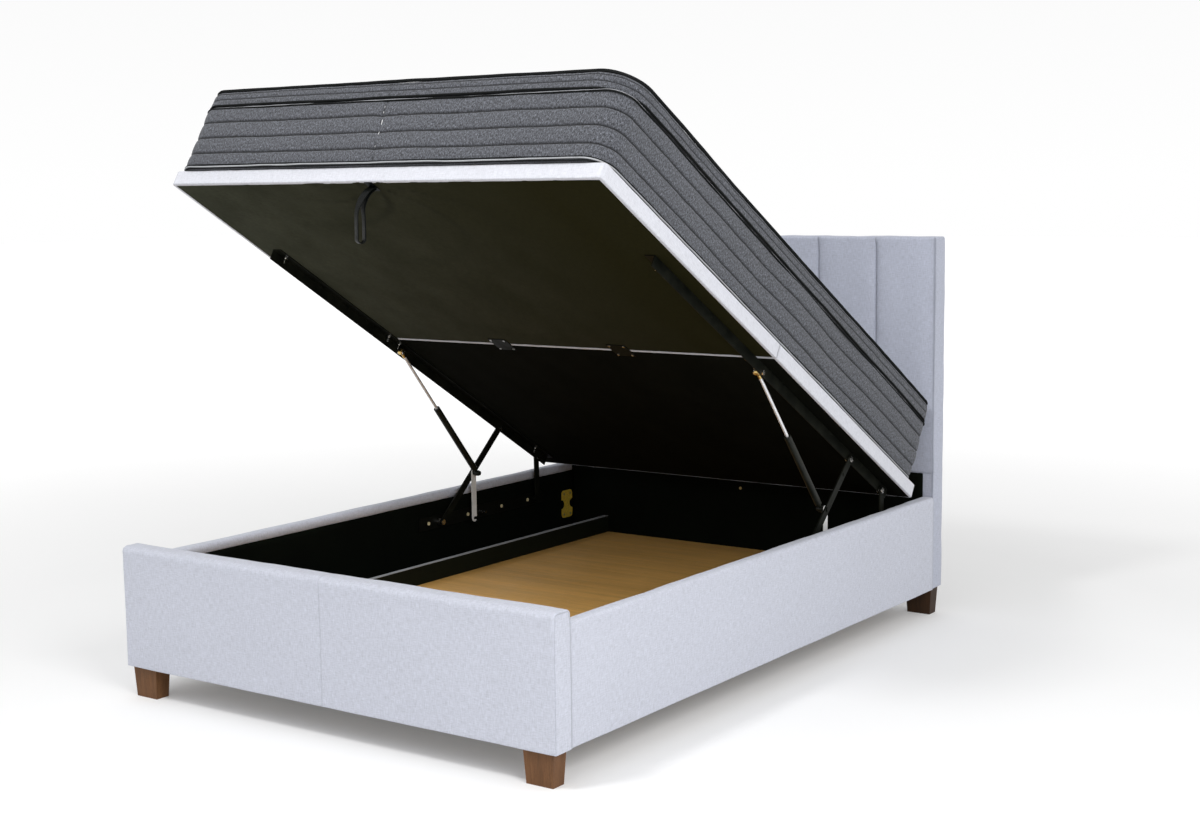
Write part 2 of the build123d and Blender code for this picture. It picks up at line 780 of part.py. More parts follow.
# Gas springs: the rod hangs from the top rail, the cylinder's lower eye meets the long arm
spring_way = turned(spring_angle)
cylinder_start = eye_radius + eye_neck
rod_reach = spring_length - cylinder_start - cylinder_length
lower_stud_outer = mid_pin_end - mid_pin_head_height - running_gap
for side, side_name in ((-1, "left"), (1, "right")):
    eye_span = across(side, spring_axis - eye_width / 2, spring_axis + eye_width / 2)
    upward = Plane(
        origin=(side * spring_axis, mid_pivot[0], mid_pivot[1]),
        x_dir=(1, 0, 0),
        z_dir=(0, spring_way[0], spring_way[1]),
    )
    with BuildPart() as gas_cylinder:
        with BuildSketch(upward.offset(cylinder_start)):
            Circle(cylinder_radius)
        extrude(amount=cylinder_length)
        with BuildSketch(upward.offset(cylinder_start + cylinder_end_thickness)):
            Circle(cylinder_radius - cylinder_wall)
        extrude(amount=cylinder_length - 2 * cylinder_end_thickness, mode=Mode.SUBTRACT)
        with BuildSketch(upward.offset(cylinder_start + cylinder_length - cylinder_end_thickness)):
            Circle(rod_radius + shaft_clearance)
        extrude(amount=cylinder_end_thickness, mode=Mode.SUBTRACT)
        with BuildSketch(upward):
            Circle(rod_radius)
        extrude(amount=cylinder_start)
        add_disc(eye_span, mid_pivot, eye_radius)
        add_disc(across(side, spring_axis - eye_width, lower_stud_outer), mid_pivot, pivot_radius)
        for stud_nut in (
            across(side, spring_axis - eye_width, spring_axis - eye_width / 2),
            across(side, spring_axis + eye_width / 2, lower_stud_outer),
        ):
            add_disc(stud_nut, mid_pivot, stud_nut_radius)
    write_piece(gas_cylinder, f"gas_cylinder_{side_name}")

    downward = Plane(
        origin=(side * spring_axis, spring_eye[0], spring_eye[1]),
        x_dir=(1, 0, 0),
        z_dir=(0, -spring_way[0], -spring_way[1]),
    )
    with BuildPart() as gas_rod:
        with BuildSketch(downward.offset(eye_radius + eye_neck)):
            Circle(rod_radius)
        extrude(amount=rod_reach + rod_end_in_cylinder - eye_radius - eye_neck)
        with BuildSketch(downward.offset(rod_reach + rod_end_in_cylinder)):
            Circle(piston_radius)
        extrude(amount=piston_length)
    write_piece(gas_rod, f"gas_rod_{side_name}")

    with BuildPart() as rod_eye:
        with BuildSketch(downward):
            Circle(eye_neck_radius)
        extrude(amount=eye_radius + eye_neck)
        add_disc(eye_span, spring_eye, eye_radius)
        add_disc(eye_span, spring_eye, bore_radius, mode=Mode.SUBTRACT)
    write_piece(rod_eye, f"gas_rod_eye_{side_name}")

# Top rails: steel angles along the underside of the platform
rail_start = platform_point(open_origin, platform_open_angle, top_rail_rear_setback, 0)
rail_end_plane = Plane(
    origin=(0, rail_start[0], rail_start[1]), x_dir=(1, 0, 0), z_dir=(0, -tilt[0], tilt[1])
)
for side, side_name in ((-1, "left"), (1, "right")):
    with BuildPart() as top_rail:
        with BuildSketch(rail_end_plane):
            with BuildLine():
                Polyline(
                    (side * flange_outer, 0),
                    (side * (flange_outer - top_rail_width), 0),
                    (side * (flange_outer - top_rail_width), -top_rail_thickness),
                    (side * flange_inner, -top_rail_thickness),
                    (side * flange_inner, -top_rail_drop),
                    (side * flange_outer, -top_rail_drop),
                    close=True,
                )
            make_face()
        extrude(amount=top_rail_front_setback - top_rail_rear_setback)
        flange_span = across(side, flange_inner - cut_overrun, flange_outer + cut_overrun)
        for pivot in (long_pivot, rear_pivot, spring_eye):
            add_disc(flange_span, pivot, pivot_radius, mode=Mode.SUBTRACT)
    write_piece(top_rail, f"top_rail_{side_name}")

with BuildPart() as arm_pivots:
    for side in (-1, 1):
        for pivot in (long_pivot, rear_pivot):
            add_disc(across(side, flange_inner, arm_outer + running_gap), pivot, pivot_radius)
            add_disc(across(side, flange_outer, arm_inner - running_gap), pivot, pivot_head_radius)
            head_span = across(
                side, arm_outer + running_gap, arm_outer + running_gap + pivot_head_height
            )
            add_disc(head_span, pivot, pivot_head_radius)
            add_hexagon(across(side, flange_inner - stud_nut_height, flange_inner), pivot, stud_nut_radius)
write_piece(arm_pivots, "arm_pivots")

eye_outer = spring_axis + eye_width / 2
eye_inner = spring_axis - eye_width / 2
with BuildPart() as spring_studs:
    for side in (-1, 1):
        add_disc(across(side, eye_inner - stud_nut_height, flange_outer), spring_eye, pivot_radius)
        add_hexagon(
            across(side, eye_inner - running_gap - stud_nut_height, eye_inner - running_gap),
            spring_eye,
            stud_nut_radius,
        )
        add_disc(across(side, eye_outer + running_gap, flange_inner), spring_eye, stud_nut_radius)
        add_hexagon(
            across(side, flange_outer, flange_outer + stud_nut_height), spring_eye, stud_nut_radius
        )
write_piece(spring_studs, "spring_studs")

bolt_line = flange_outer - top_rail_width + top_rail_bolt_inset
with BuildPart() as top_rail_bolts:
    for side in (-1, 1):
        for setback in top_rail_bolt_setbacks:
            with BuildSketch(platform_plane.offset(-top_rail_thickness)):
                with Locations((side * bolt_line, -setback)):
                    RegularPolygon(bolt_nut_radius, 6)
            extrude(amount=-bolt_nut_height)
            with BuildSketch(platform_plane.offset(-top_rail_thickness)):
                with Locations((side * bolt_line, -setback)):
                    Circle(bolt_radius)
            extrude(amount=-bolt_tail)
write_piece(top_rail_bolts, "top_rail_bolts")

# Platform halves: wooden frames with slats, plywood decks, cloth borders and dust covers
half_gap = panel_joint_gap / 2
halves = (
    ("head", False, (0, head_panel_length - half_gap)),
    ("foot", True, (head_panel_length + half_gap, platform_length)),
)
deck_low = platform_thickness - deck_thickness
slat_half_length = platform_width / 2 - border_cloth_thickness - frame_bar_width
with BuildPart() as platform_frames:
    for half_name, rounds_foot, (rear_edge, front_edge) in halves:
        rear_in = rear_edge + border_cloth_thickness
        front_in = front_edge - border_cloth_thickness
        add_platform_panel(
            (rear_in, front_in), (dust_cover_thickness, deck_low), border_cloth_thickness, rounds_foot
        )
        clear_length = front_in - rear_in - 2 * frame_bar_width - slat_count * slat_width
        bay_length = clear_length / (slat_count + 1)
        for bay in range(slat_count + 1):
            bay_start = rear_in + frame_bar_width + bay * (bay_length + slat_width)
            add_platform_slab(
                (-slat_half_length, slat_half_length),
                (bay_start, bay_start + bay_length),
                (dust_cover_thickness - cut_overrun, deck_low + cut_overrun),
                mode=Mode.SUBTRACT,
            )
write_piece(platform_frames, "platform_frames")

with BuildPart() as platform_decks:
    for half_name, rounds_foot, (rear_edge, front_edge) in halves:
        add_platform_panel(
            (rear_edge + border_cloth_thickness, front_edge - border_cloth_thickness),
            (deck_low, platform_thickness),
            border_cloth_thickness,
            rounds_foot,
        )
write_piece(platform_decks, "platform_decks")

for half_name, rounds_foot, (rear_edge, front_edge) in halves:
    rear_in = rear_edge + border_cloth_thickness
    front_in = front_edge - border_cloth_thickness
    cover_span = (
        rear_in + joint_lip_width if rounds_foot else rear_in,
        front_in if rounds_foot else front_in - joint_lip_width,
    )
    with BuildPart() as platform_border:
        add_platform_panel((rear_edge, front_edge), (0, platform_thickness), 0, rounds_foot)
        add_platform_panel(
            (rear_in, front_in),
            (dust_cover_thickness, platform_thickness + cut_overrun),
            border_cloth_thickness,
            rounds_foot,
            mode=Mode.SUBTRACT,
        )
        add_platform_panel(
            cover_span,
            (-cut_overrun, dust_cover_thickness),
            border_cloth_thickness,
            rounds_foot,
            mode=Mode.SUBTRACT,
        )
    write_piece(platform_border, f"platform_border_{half_name}")

    with BuildPart() as dust_cover:
        add_platform_panel(cover_span, (0, dust_cover_thickness), border_cloth_thickness, rounds_foot)
    write_piece(dust_cover, f"dust_cover_{half_name}")

with BuildPart() as mending_plates:
    for side in (-1, 1):
        add_platform_slab(
            (
                side * mending_plate_offset - mending_plate_width / 2,
                side * mending_plate_offset + mending_plate_width / 2,
            ),
            (head_panel_length - mending_plate_length / 2, head_panel_length + mending_plate_length / 2),
            (-mending_plate_thickness, 0),
        )
write_piece(mending_plates, "mending_plates")

screw_across = mending_plate_width / 2 - mending_screw_inset
screw_along = mending_plate_length / 2 - mending_screw_inset
with BuildPart() as mending_screws:
    with BuildSketch(platform_plane.offset(-mending_plate_thickness)):
        for side in (-1, 1):
            with Locations((side * mending_plate_offset, -head_panel_length)):
                with GridLocations(2 * screw_across, 2 * screw_along, 2, 2):
                    Circle(mending_screw_radius)
    extrude(amount=-mending_screw_height)
write_piece(mending_screws, "mending_screws")

# Pull strap: a loop of flat strap under the foot edge, with a round top that swings clear of its anchor
strap_nose = strap_mouth / 2
strap_pivot = platform_point(
    open_origin,
    platform_open_angle,
    strap_setback,
    -(strap_anchor_thickness + running_gap + strap_nose),
)
strap_start = turned(strap_start_angle)


def strap_leg(way, inset):
    """Leg on the foot side (-1) or the head side (1): start, middle and end of its bend."""
    nose = strap_nose - inset
    start_y = way * nose * strap_start[0]
    start_z = -way * nose * strap_start[1]
    end_y = way * (strap_belly / 2 - inset) - strap_sweep
    bend_radius = (start_y - end_y) / (1 - strap_start[0])
    middle_way = turned(strap_start_angle / 2)
    centre_y = end_y + bend_radius
    centre_z = start_z - bend_radius * strap_start[1]
    return (
        (strap_pivot[0] + start_y, strap_pivot[1] + start_z),
        (
            strap_pivot[0] + centre_y - bend_radius * middle_way[0],
            strap_pivot[1] + centre_z + bend_radius * middle_way[1],
        ),
        (strap_pivot[0] + end_y, strap_pivot[1] + centre_z),
    )


def strap_outline(inset):
    """Closed loop: a round top, two legs that bend down from it, and a round belly."""
    foot_leg = strap_leg(-1, inset)
    head_leg = strap_leg(1, inset)
    belly = strap_belly / 2 - inset
    nose = strap_nose - inset
    belly_level = strap_pivot[1] - strap_hang + strap_belly / 2
    belly_middle = strap_pivot[0] - strap_sweep
    nose_tip = (strap_pivot[0] + nose * strap_start[1], strap_pivot[1] + nose * strap_start[0])
    ThreePointArc(foot_leg[0], foot_leg[1], foot_leg[2])
    Line(foot_leg[2], (belly_middle - belly, belly_level))
    ThreePointArc(
        (belly_middle - belly, belly_level),
        (belly_middle, belly_level - belly),
        (belly_middle + belly, belly_level),
    )
    Line((belly_middle + belly, belly_level), head_leg[2])
    ThreePointArc(head_leg[2], head_leg[1], head_leg[0])
    ThreePointArc(head_leg[0], nose_tip, foot_leg[0])


with BuildPart() as pull_strap:
    with BuildSketch(Plane.YZ.offset(-strap_width / 2)):
        with BuildLine():
            strap_outline(0)
        make_face()
    extrude(amount=strap_width)
    with BuildSketch(Plane.YZ.offset(-strap_width / 2 - cut_overrun)):
        with BuildLine():
            strap_outline(strap_thickness)
        make_face()
    extrude(amount=strap_width + 2 * cut_overrun, mode=Mode.SUBTRACT)
write_piece(pull_strap, "pull_strap")

with BuildPart() as strap_anchor:
    add_platform_slab(
        (-strap_width / 2, strap_width / 2),
        (strap_setback - strap_anchor_length / 2, strap_setback + strap_anchor_length / 2),
        (-strap_anchor_thickness, 0),
    )
write_piece(strap_anchor, "strap_anchor")

# Mattress: quilted border below a valley, and a crowned pillow top, both hollow for the springs
mattress_middle = -(mattress_rear_setback + mattress_length / 2)


def rounded_section(height, inset, corner_radius):
    """Rounded outline of the mattress at a height above the platform, drawn in by an inset."""
    with BuildSketch(platform_plane.offset(platform_thickness + height), mode=Mode.PRIVATE) as outline:
        with Locations((0, mattress_middle)):
            RectangleRounded(mattress_width - 2 * inset, mattress_length - 2 * inset, corner_radius)
    return outline.sketch


def mattress_section(height, inset):
    """Outline that keeps its distance from the full one, round the corners too."""
    return rounded_section(height, inset, mattress_corner_radius - inset)


def seam_profile(base, height, count, depth, half_width, inset_at):
    """Heights and insets of one quilted band: drawn in at each seam, full beside it."""
    profile = []
    for seam in range(1, count + 1):
        seam_height = base + seam * height / (count + 1)
        for level, dip in (
            (seam_height - half_width, 0),
            (seam_height, depth),
            (seam_height + half_width, 0),
        ):
            profile.append((level, inset_at(level) + dip))
    return profile


border_profile = [
    (0, border_foot_inset),
    (border_seam_half_width, 0),
    *seam_profile(
        0, border_height, border_seam_count, border_seam_depth, border_seam_half_width, lambda level: 0
    ),
    (border_height - valley_height, 0),
    (border_height, valley_depth),
]
border_outlines = [mattress_section(level, inset) for level, inset in border_profile]
border_void = mattress_section(mattress_wall, mattress_wall + border_seam_depth)
with BuildPart() as mattress_border:
    loft(border_outlines, ruled=True)
    extrude(border_void, amount=border_height - 2 * mattress_wall, mode=Mode.SUBTRACT)
write_piece(mattress_border, "mattress_border")

pillow_top_height = border_height + pillow_height


def round_inset(level):
    """Inset of the pillow top's rounded upper edge at a height."""
    rise = level - (pillow_top_height - pillow_edge_radius)
    if rise <= 0:
        return 0
    return pillow_edge_radius - math.sqrt(pillow_edge_radius**2 - rise**2)


pillow_profile = [
    (border_height, valley_depth),
    (border_height + valley_height, 0),
    *seam_profile(
        border_height,
        pillow_height,
        pillow_seam_count,
        pillow_seam_depth,
        pillow_seam_half_width,
        round_inset,
    ),
]
round_start = math.degrees(
    math.asin((pillow_profile[-1][0] - pillow_top_height + pillow_edge_radius) / pillow_edge_radius)
)
for step in range(1, pillow_edge_steps + 1):
    round_way = turned(round_start + (90 - round_start) * step / pillow_edge_steps)
    pillow_profile.append(
        (
            pillow_top_height - pillow_edge_radius * (1 - round_way[1]),
            pillow_edge_radius * (1 - round_way[0]),
        )
    )
pillow_outlines = [mattress_section(level, inset) for level, inset in pillow_profile]
pillow_outlines.append(
    rounded_section(pillow_top_height + crown_height, crown_inset, crown_corner_radius)
)
pillow_void = mattress_section(border_height + mattress_wall, valley_depth + mattress_wall)
with BuildPart() as mattress_pillow_top:
    loft(pillow_outlines, ruled=True)
    extrude(pillow_void, amount=pillow_height - 2 * mattress_wall, mode=Mode.SUBTRACT)
write_piece(mattress_pillow_top, "mattress_pillow_top")
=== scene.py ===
import contextlib
import math

import bmesh
import bpy
import numpy as np
from mathutils import Matrix, Vector


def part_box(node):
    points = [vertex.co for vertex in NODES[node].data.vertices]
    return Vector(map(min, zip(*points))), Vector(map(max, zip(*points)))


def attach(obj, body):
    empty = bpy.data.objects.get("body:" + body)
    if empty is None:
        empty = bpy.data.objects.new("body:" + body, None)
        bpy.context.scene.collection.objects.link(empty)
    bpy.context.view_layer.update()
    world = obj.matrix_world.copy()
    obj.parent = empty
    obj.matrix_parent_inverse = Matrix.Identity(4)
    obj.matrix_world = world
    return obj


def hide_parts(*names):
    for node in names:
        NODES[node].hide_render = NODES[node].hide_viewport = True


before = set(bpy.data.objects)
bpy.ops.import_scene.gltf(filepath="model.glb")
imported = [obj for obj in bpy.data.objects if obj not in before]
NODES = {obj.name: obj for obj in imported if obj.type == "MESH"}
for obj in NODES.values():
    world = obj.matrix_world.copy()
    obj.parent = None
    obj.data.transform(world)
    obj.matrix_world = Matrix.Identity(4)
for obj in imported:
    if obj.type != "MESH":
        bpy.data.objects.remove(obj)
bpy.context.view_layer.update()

bl_info = {
    "name": "Gas-lift storage bed",
    "version": (1, 0, 0),
    "blender": (4, 5, 0),
    "location": "View3D > Sidebar > Storage bed",
    "description": "Dresses the packed frame of an upholstered gas-lift storage bed",
    "category": "Object",
}

COVER_HEM = 0.0028              # how far the open edges of a cover are folded in
LOWER_EDGE = 0.003              # radius of a cover's lower edges
EDGE_ROW = 0.0008               # last row of points beside an upright edge
END_CLOTH = 3.0                 # where the cloth of a cover's ends starts, clear of its front
LINING_GRID = 0.02
LINING_THICKNESS, DUST_THICKNESS = 0.0012, 0.0005
UNDER_FRAME = -0.0002           # highest level of the dust covers in the platform's frame
TURNS_OF_HEM = np.radians([0, 30, 60, 90])

# Places: the frame's own boxes, and the raised platform's tilted frame

PLATFORM_TILT = math.radians(30.9)
TILT_COS, TILT_SIN = math.cos(PLATFORM_TILT), math.sin(PLATFORM_TILT)


def node_points(name):
    """Vertices of a frame node, in metres."""
    return np.array([v.co for v in NODES[name].data.vertices])


def limits(name):
    """Lowest and highest corner of a frame node, as arrays."""
    low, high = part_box(name)
    return np.array(low), np.array(high)


def untilted(points):
    """World points as (across, towards the foot, above the underside), before the origin is taken off."""
    x, y, z = points.T
    return np.stack([x, -y * TILT_COS + z * TILT_SIN, y * TILT_SIN + z * TILT_COS], 1)


PLATFORM_ORIGIN = untilted(node_points("platform_border_head")).min(0) * (0, 1, 1)


def platform_limits(name):
    """Lowest and highest corner of a node in the platform's frame."""
    local = untilted(node_points(name)) - PLATFORM_ORIGIN
    return local.min(0), local.max(0)


def from_platform(points):
    """Points in the platform's frame, put in the world."""
    x, s, n = (np.asarray(points, float) + PLATFORM_ORIGIN).T
    return np.stack([x, -s * TILT_COS + n * TILT_SIN, s * TILT_SIN + n * TILT_COS], 1)


# Numbers shared by the pieces

def stations(low, high, step, marks=()):
    """Places from low to high about a step apart, with every mark among them."""
    inner = np.linspace(low, high, max(2, round((high - low) / step) + 1))[1:-1]
    marks = [float(m) for m in marks if low < m < high]
    free = [float(p) for p in inner if all(abs(p - m) > 0.4 * step for m in marks)]
    places = sorted({float(low), float(high), *free, *marks})
    kept = [b for a, b in zip(places, places[1:]) if b - a > 1e-4 and high - b > 1e-4]
    return [low] + kept + [high]


def beside(places, *reaches):
    """Each place with its neighbours at the reaches on both sides."""
    return [p + way * r for p in places for r in (0, *reaches) for way in (-1, 1)]


def smooth_step(value, start, end):
    """0 at the start, 1 at the end, level at both."""
    share = np.clip((value - start) / (end - start), 0, 1)
    return share * share * (3 - 2 * share)


def crease(distance, width):
    """1 on a seam, falling to 0 over about a width beside it."""
    return np.exp(-((distance / width) ** 2))


def dip_at(distance, width):
    """The same as a plain number."""
    return math.exp(-((distance / width) ** 2))


def ripple(points, length, seed, waves=7):
    """Smooth uneven relief, from -1 to 1, whose bumps are about a length apart."""
    draw = np.random.default_rng(seed)
    total = np.zeros(len(points))
    for _ in range(waves):
        way = draw.normal(size=points.shape[1])
        way /= np.linalg.norm(way) * length * draw.uniform(0.7, 1.5)
        total += np.sin(points @ way * 2 * math.pi + draw.uniform(0, 2 * math.pi))
    return total / math.sqrt(waves * 2)


def uneven(points, *waves):
    """Sum of ripples, each with its depth, length and seed."""
    return sum(depth * ripple(points, length, seed) for depth, length, seed in waves)


def columns(count, *values):
    """Array of points whose columns are numbers or arrays."""
    return np.column_stack([np.broadcast_to(v, count) for v in values])


def at_level(loop, level):
    """A flat loop put at a level, which may differ from point to point."""
    return np.column_stack([loop, np.broadcast_to(level, len(loop))])


def to_rim(flat, low, high):
    """Distance of places in a rectangle to its nearest side."""
    x, y = flat.T
    return np.minimum.reduce([x - low[0], high[0] - x, y - low[1], high[1] - y])


def beyond(x, y, low, high):
    """How far places lie outside a rectangle, along its own ways; 0 inside."""
    return np.maximum.reduce([low[0] - x, x - high[0], low[1] - y, y - high[1], np.zeros(len(x))])


def between(flat, xs, ys, values):
    """Values of a grid at places between its points."""
    across = np.clip((flat[:, 0] - xs[0]) / (xs[1] - xs[0]), 0, len(xs) - 1.001)
    along = np.clip((flat[:, 1] - ys[0]) / (ys[1] - ys[0]), 0, len(ys) - 1.001)
    c, r = across.astype(int), along.astype(int)
    u, v = across - c, along - r
    near = values[r, c] * (1 - u) + values[r, c + 1] * u
    return near * (1 - v) + (values[r + 1, c] * (1 - u) + values[r + 1, c + 1] * u) * v


# Skins, grids and rings

def box_skin(xs, ys, zs, wanted):
    """Grid over the wanted faces of a box: points, outward faces, and each face's axis and side."""
    axes, count, number = (xs, ys, zs), (len(xs), len(ys), len(zs)), {}
    points, faces, sides = [], [], []

    def corner(place):
        if place not in number:
            number[place] = len(points)
            points.append([axes[a][place[a]] for a in range(3)])
        return number[place]

    for axis in range(3):
        first, second = [a for a in range(3) if a != axis]
        for high in (False, True):
            for i in range(count[first] - 1):
                for j in range(count[second] - 1):
                    ring = []
                    for di, dj in ((0, 0), (1, 0), (1, 1), (0, 1)):
                        place = [0, 0, 0]
                        place[axis] = count[axis] - 1 if high else 0
                        place[first], place[second] = i + di, j + dj
                        ring.append(tuple(place))
                    if high == (axis == 1):
                        ring.reverse()
                    middle = [sum(axes[a][p[a]] for p in ring) / 4 for a in range(3)]
                    if wanted(axis, high, middle):
                        faces.append([corner(p) for p in ring])
                        sides.append((axis, high))
    return np.array(points), faces, sides


def rounded(points, low, high, low_radii, high_radii):
    """Box points with every edge and corner rounded; the radii may differ from point to point."""
    core = np.clip(points, low + low_radii, high - high_radii)
    radii = np.where(points < core, low_radii, high_radii)
    offset = (points - core) / np.maximum(radii, 1e-9)
    squares = (offset**2).T
    others = [[squares[a] for a in range(3) if a != axis] for axis in range(3)]
    onto_ball = np.sqrt(np.stack([1 - (a + b) / 2 + a * b / 3 for a, b in others], 1))
    return core + offset * onto_ball * radii


def wrapped_cloth(points, faces, sides, low, high, run):
    """Place on the cloth of each face corner: along the panel's run, and up, over the top and down."""
    cross = 1 - run
    places = []
    for face, (axis, is_high) in zip(faces, sides):
        for p in points[list(face)]:
            if axis == 2:
                over = p[cross] - low[cross]
                places.append((p[run], high[2] + over if is_high else low[2] - over))
            elif axis == run:
                places.append((p[cross] + END_CLOTH, p[2]))
            else:
                down = 2 * high[2] + high[cross] - low[cross] - p[2]
                places.append((p[run], down if is_high else p[2]))
    return places


def outward(points, faces):
    """Unit normals at the points of a mesh of four-sided faces."""
    ring = np.array(faces)
    cross = np.cross(points[ring[:, 2]] - points[ring[:, 0]], points[ring[:, 3]] - points[ring[:, 1]])
    normals = np.zeros_like(points)
    for k in range(4):
        np.add.at(normals, ring[:, k], cross)
    return normals / np.maximum(np.linalg.norm(normals, axis=1, keepdims=True), 1e-12)


def grid_faces(wide, rows, flip=False):
    """Faces of a grid of points, laid row by row."""
    starts = [r * wide + c for r in range(rows - 1) for c in range(wide - 1)]
    faces = [(at, at + 1, at + wide + 1, at + wide) for at in starts]
    return [ring[::-1] for ring in faces] if flip else faces


def ring_rows(arcs, levels, closed=False):
    """Faces between rings of points laid one after the other, and each corner's (arc, level)."""
    count, rows = len(arcs) - 1, len(levels) - 1
    rings = rows if closed else rows + 1
    faces, cloth = [], []
    for r in range(rows):
        for c in range(count):
            corners = ((c, r), (c + 1, r), (c + 1, r + 1), (c, r + 1))
            faces.append([b % rings * count + a % count for a, b in corners])
            cloth += [(arcs[a], levels[b]) for a, b in corners]
    return faces, cloth


def headings(path, closed=True):
    """Unit steps along a path, from the point before each point to the one after."""
    if closed:
        step = np.roll(path, -1, 0) - np.roll(path, 1, 0)
    else:
        after = np.vstack([path[1:], path[-1:] * 2 - path[-2:-1]])
        step = after - np.vstack([path[:1] * 2 - path[1:2], path[:-1]])
    return step / np.linalg.norm(step, axis=1, keepdims=True)


def sideways(loop):
    """Unit steps out of a flat anticlockwise loop."""
    ahead = headings(loop)
    return np.stack([ahead[:, 1], -ahead[:, 0]], 1)


def loop_runs(loop):
    """Length along a closed loop at each point, and once more at its end."""
    gaps = np.linalg.norm(np.roll(loop, -1, 0) - loop, axis=1)
    return np.concatenate([[0], np.cumsum(gaps)])


def rounded_loop(low, high, radii, step_counts, corner_count=10):
    """Rounded rectangle, anticlockwise from the lower right, one radius for each corner."""
    (x0, y0), (x1, y1) = low, high
    arcs = []
    corners = (x1, y0), (x1, y1), (x0, y1), (x0, y0)
    for (cx, cy), start, radius in zip(corners, (-90, 0, 90, 180), radii):
        mx = cx - radius if cx == x1 else cx + radius
        my = cy - radius if cy == y1 else cy + radius
        turn = np.radians(start + np.linspace(0, 90, corner_count + 1))
        arcs.append(np.stack([mx + radius * np.cos(turn), my + radius * np.sin(turn)], 1))
    loop = []
    for k, arc in enumerate(arcs):
        start, end = arc[-1], arcs[(k + 1) % 4][0]
        shares = np.linspace(0, 1, step_counts[k % 2] + 1)[1:-1, None]
        loop += [arc, start + (end - start) * shares]
    return np.concatenate(loop)


def band(base, profile, marks, relief):
    """Band of cloth round the platform or mattress.

    base(inset) gives a loop and profile holds (inset, level); relief(outline, level) gives how far the
    points go out and up; marks are the painted shade of the seams by row."""
    outer = base(0)
    out_of = sideways(outer)
    levels = np.concatenate([[0], np.cumsum([math.dist(a, b) for a, b in zip(profile, profile[1:])])])
    points = []
    for inset, level in profile:
        loop = base(inset)
        out, up = relief(loop, level)
        points.append(at_level(loop + out_of * out[:, None], level + up))
    faces, cloth = ring_rows(loop_runs(outer), levels)
    return np.concatenate(points), faces, cloth, np.repeat(marks, len(outer))


# Pieces

@contextlib.contextmanager
def editing(mesh):
    """A mesh open for work by bmesh, and written back."""
    work = bmesh.new()
    work.from_mesh(mesh)
    yield work
    work.to_mesh(mesh)
    work.free()


def make_piece(name, points, faces, cloth, seam=None, merge=False):
    """Smooth mesh object with its places on the cloth in metres, and its painted seam shade as an
    attribute.
    """
    mesh = bpy.data.meshes.new(name)
    mesh.from_pydata(np.asarray(points).tolist(), [], [list(map(int, f)) for f in faces])
    layer = mesh.uv_layers.new(name="cloth")
    layer.data.foreach_set("uv", np.asarray(cloth, np.float32).ravel())
    mark = mesh.attributes.new("seam", "FLOAT", "POINT")
    mark.data.foreach_set("value", np.asarray(np.zeros(len(points)) if seam is None else seam, np.float32))
    if merge:
        with editing(mesh) as work:
            bmesh.ops.remove_doubles(work, verts=work.verts, dist=2e-5)
            bmesh.ops.dissolve_degenerate(work, edges=work.edges, dist=1e-6)
    mesh.validate()
    mesh.shade_smooth()
    piece = bpy.data.objects.new(name, mesh)
    bpy.context.scene.collection.objects.link(piece)
    return piece


def face_out(piece):
    """Turns every face of a piece outward."""
    with editing(piece.data) as work:
        bmesh.ops.recalc_face_normals(work, faces=work.faces)
    return piece


def turn_in(piece, way):
    """Turns the open edges of a cover in along a way, as a folded hem."""
    with editing(piece.data) as work:
        edges = [e for e in work.edges if e.is_boundary]
        grown = bmesh.ops.extrude_edge_only(work, edges=edges)["geom"]
        fresh = [v for v in grown if isinstance(v, bmesh.types.BMVert)]
        bmesh.ops.translate(work, verts=fresh, vec=Vector(way))
        bmesh.ops.recalc_face_normals(work, faces=work.faces)
    piece.data.shade_smooth()


def tube(name, path, radius, up, closed=True, sides=8):
    """Round cord or piping sewn along a path, with its own places on the cloth."""
    path = np.asarray(path, float)
    ahead = headings(path, closed)
    side = np.cross(ahead, np.broadcast_to(np.asarray(up, float), path.shape))
    side /= np.linalg.norm(side, axis=1, keepdims=True)
    lift = np.cross(side, ahead)
    turns = np.linspace(0, 2 * math.pi, sides, endpoint=False)
    rings = [path + radius * (math.cos(t) * side + math.sin(t) * lift) for t in turns]
    points = np.stack(rings, 1).reshape(-1, 3)
    runs = loop_runs(path)
    arcs = np.arange(sides + 1) * (2 * math.pi * radius / sides)
    faces, cloth = ring_rows(arcs, runs if closed else runs[:-1], closed)
    piece = make_piece(name, points, faces, [place[::-1] for place in cloth])
    if not closed:
        with editing(piece.data) as work:
            work.verts.ensure_lookup_table()
            for ring in (range(sides), range(len(points) - sides, len(points))):
                work.faces.new([work.verts[i] for i in ring])
    return face_out(piece)


def set_up(piece, body, material, slot, *nodes):
    """Gives a piece its material and body, and hides the frame nodes that it stands for; slot is not used.
    """
    piece.data.materials.clear()
    piece.data.materials.append(material)
    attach(piece, body)
    if nodes:
        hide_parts(*nodes)
    return piece


def cover(name, points, faces, cloth, seam, inward, material, node):
    """Padded cover of the bed's frame, its open edges folded in along a way."""
    piece = make_piece(name, points, faces, cloth, seam)
    turn_in(piece, inward)
    set_up(piece, "base", material, "upholstery_fabric", node)


def thin_cloth(name, points, faces, axes, thickness, seam=None, put=None):
    """Thin sheet, thick away from its outer side; its places on the cloth are two of the points' axes."""
    first, second = axes
    cloth = [(points[i][first], points[i][second]) for f in faces for i in f]
    piece = make_piece(name, put(points) if put else points, faces, cloth, seam)
    made = piece.modifiers.new("thickness", "SOLIDIFY")
    made.thickness, made.offset = thickness, -1.0
    return piece


def dress(material, names):
    """Gives carried-over frame nodes a material through their own slots."""
    for name in names.split():
        mesh = NODES[name].data
        mesh.materials.clear()
        mesh.materials.append(material)


# Shader work

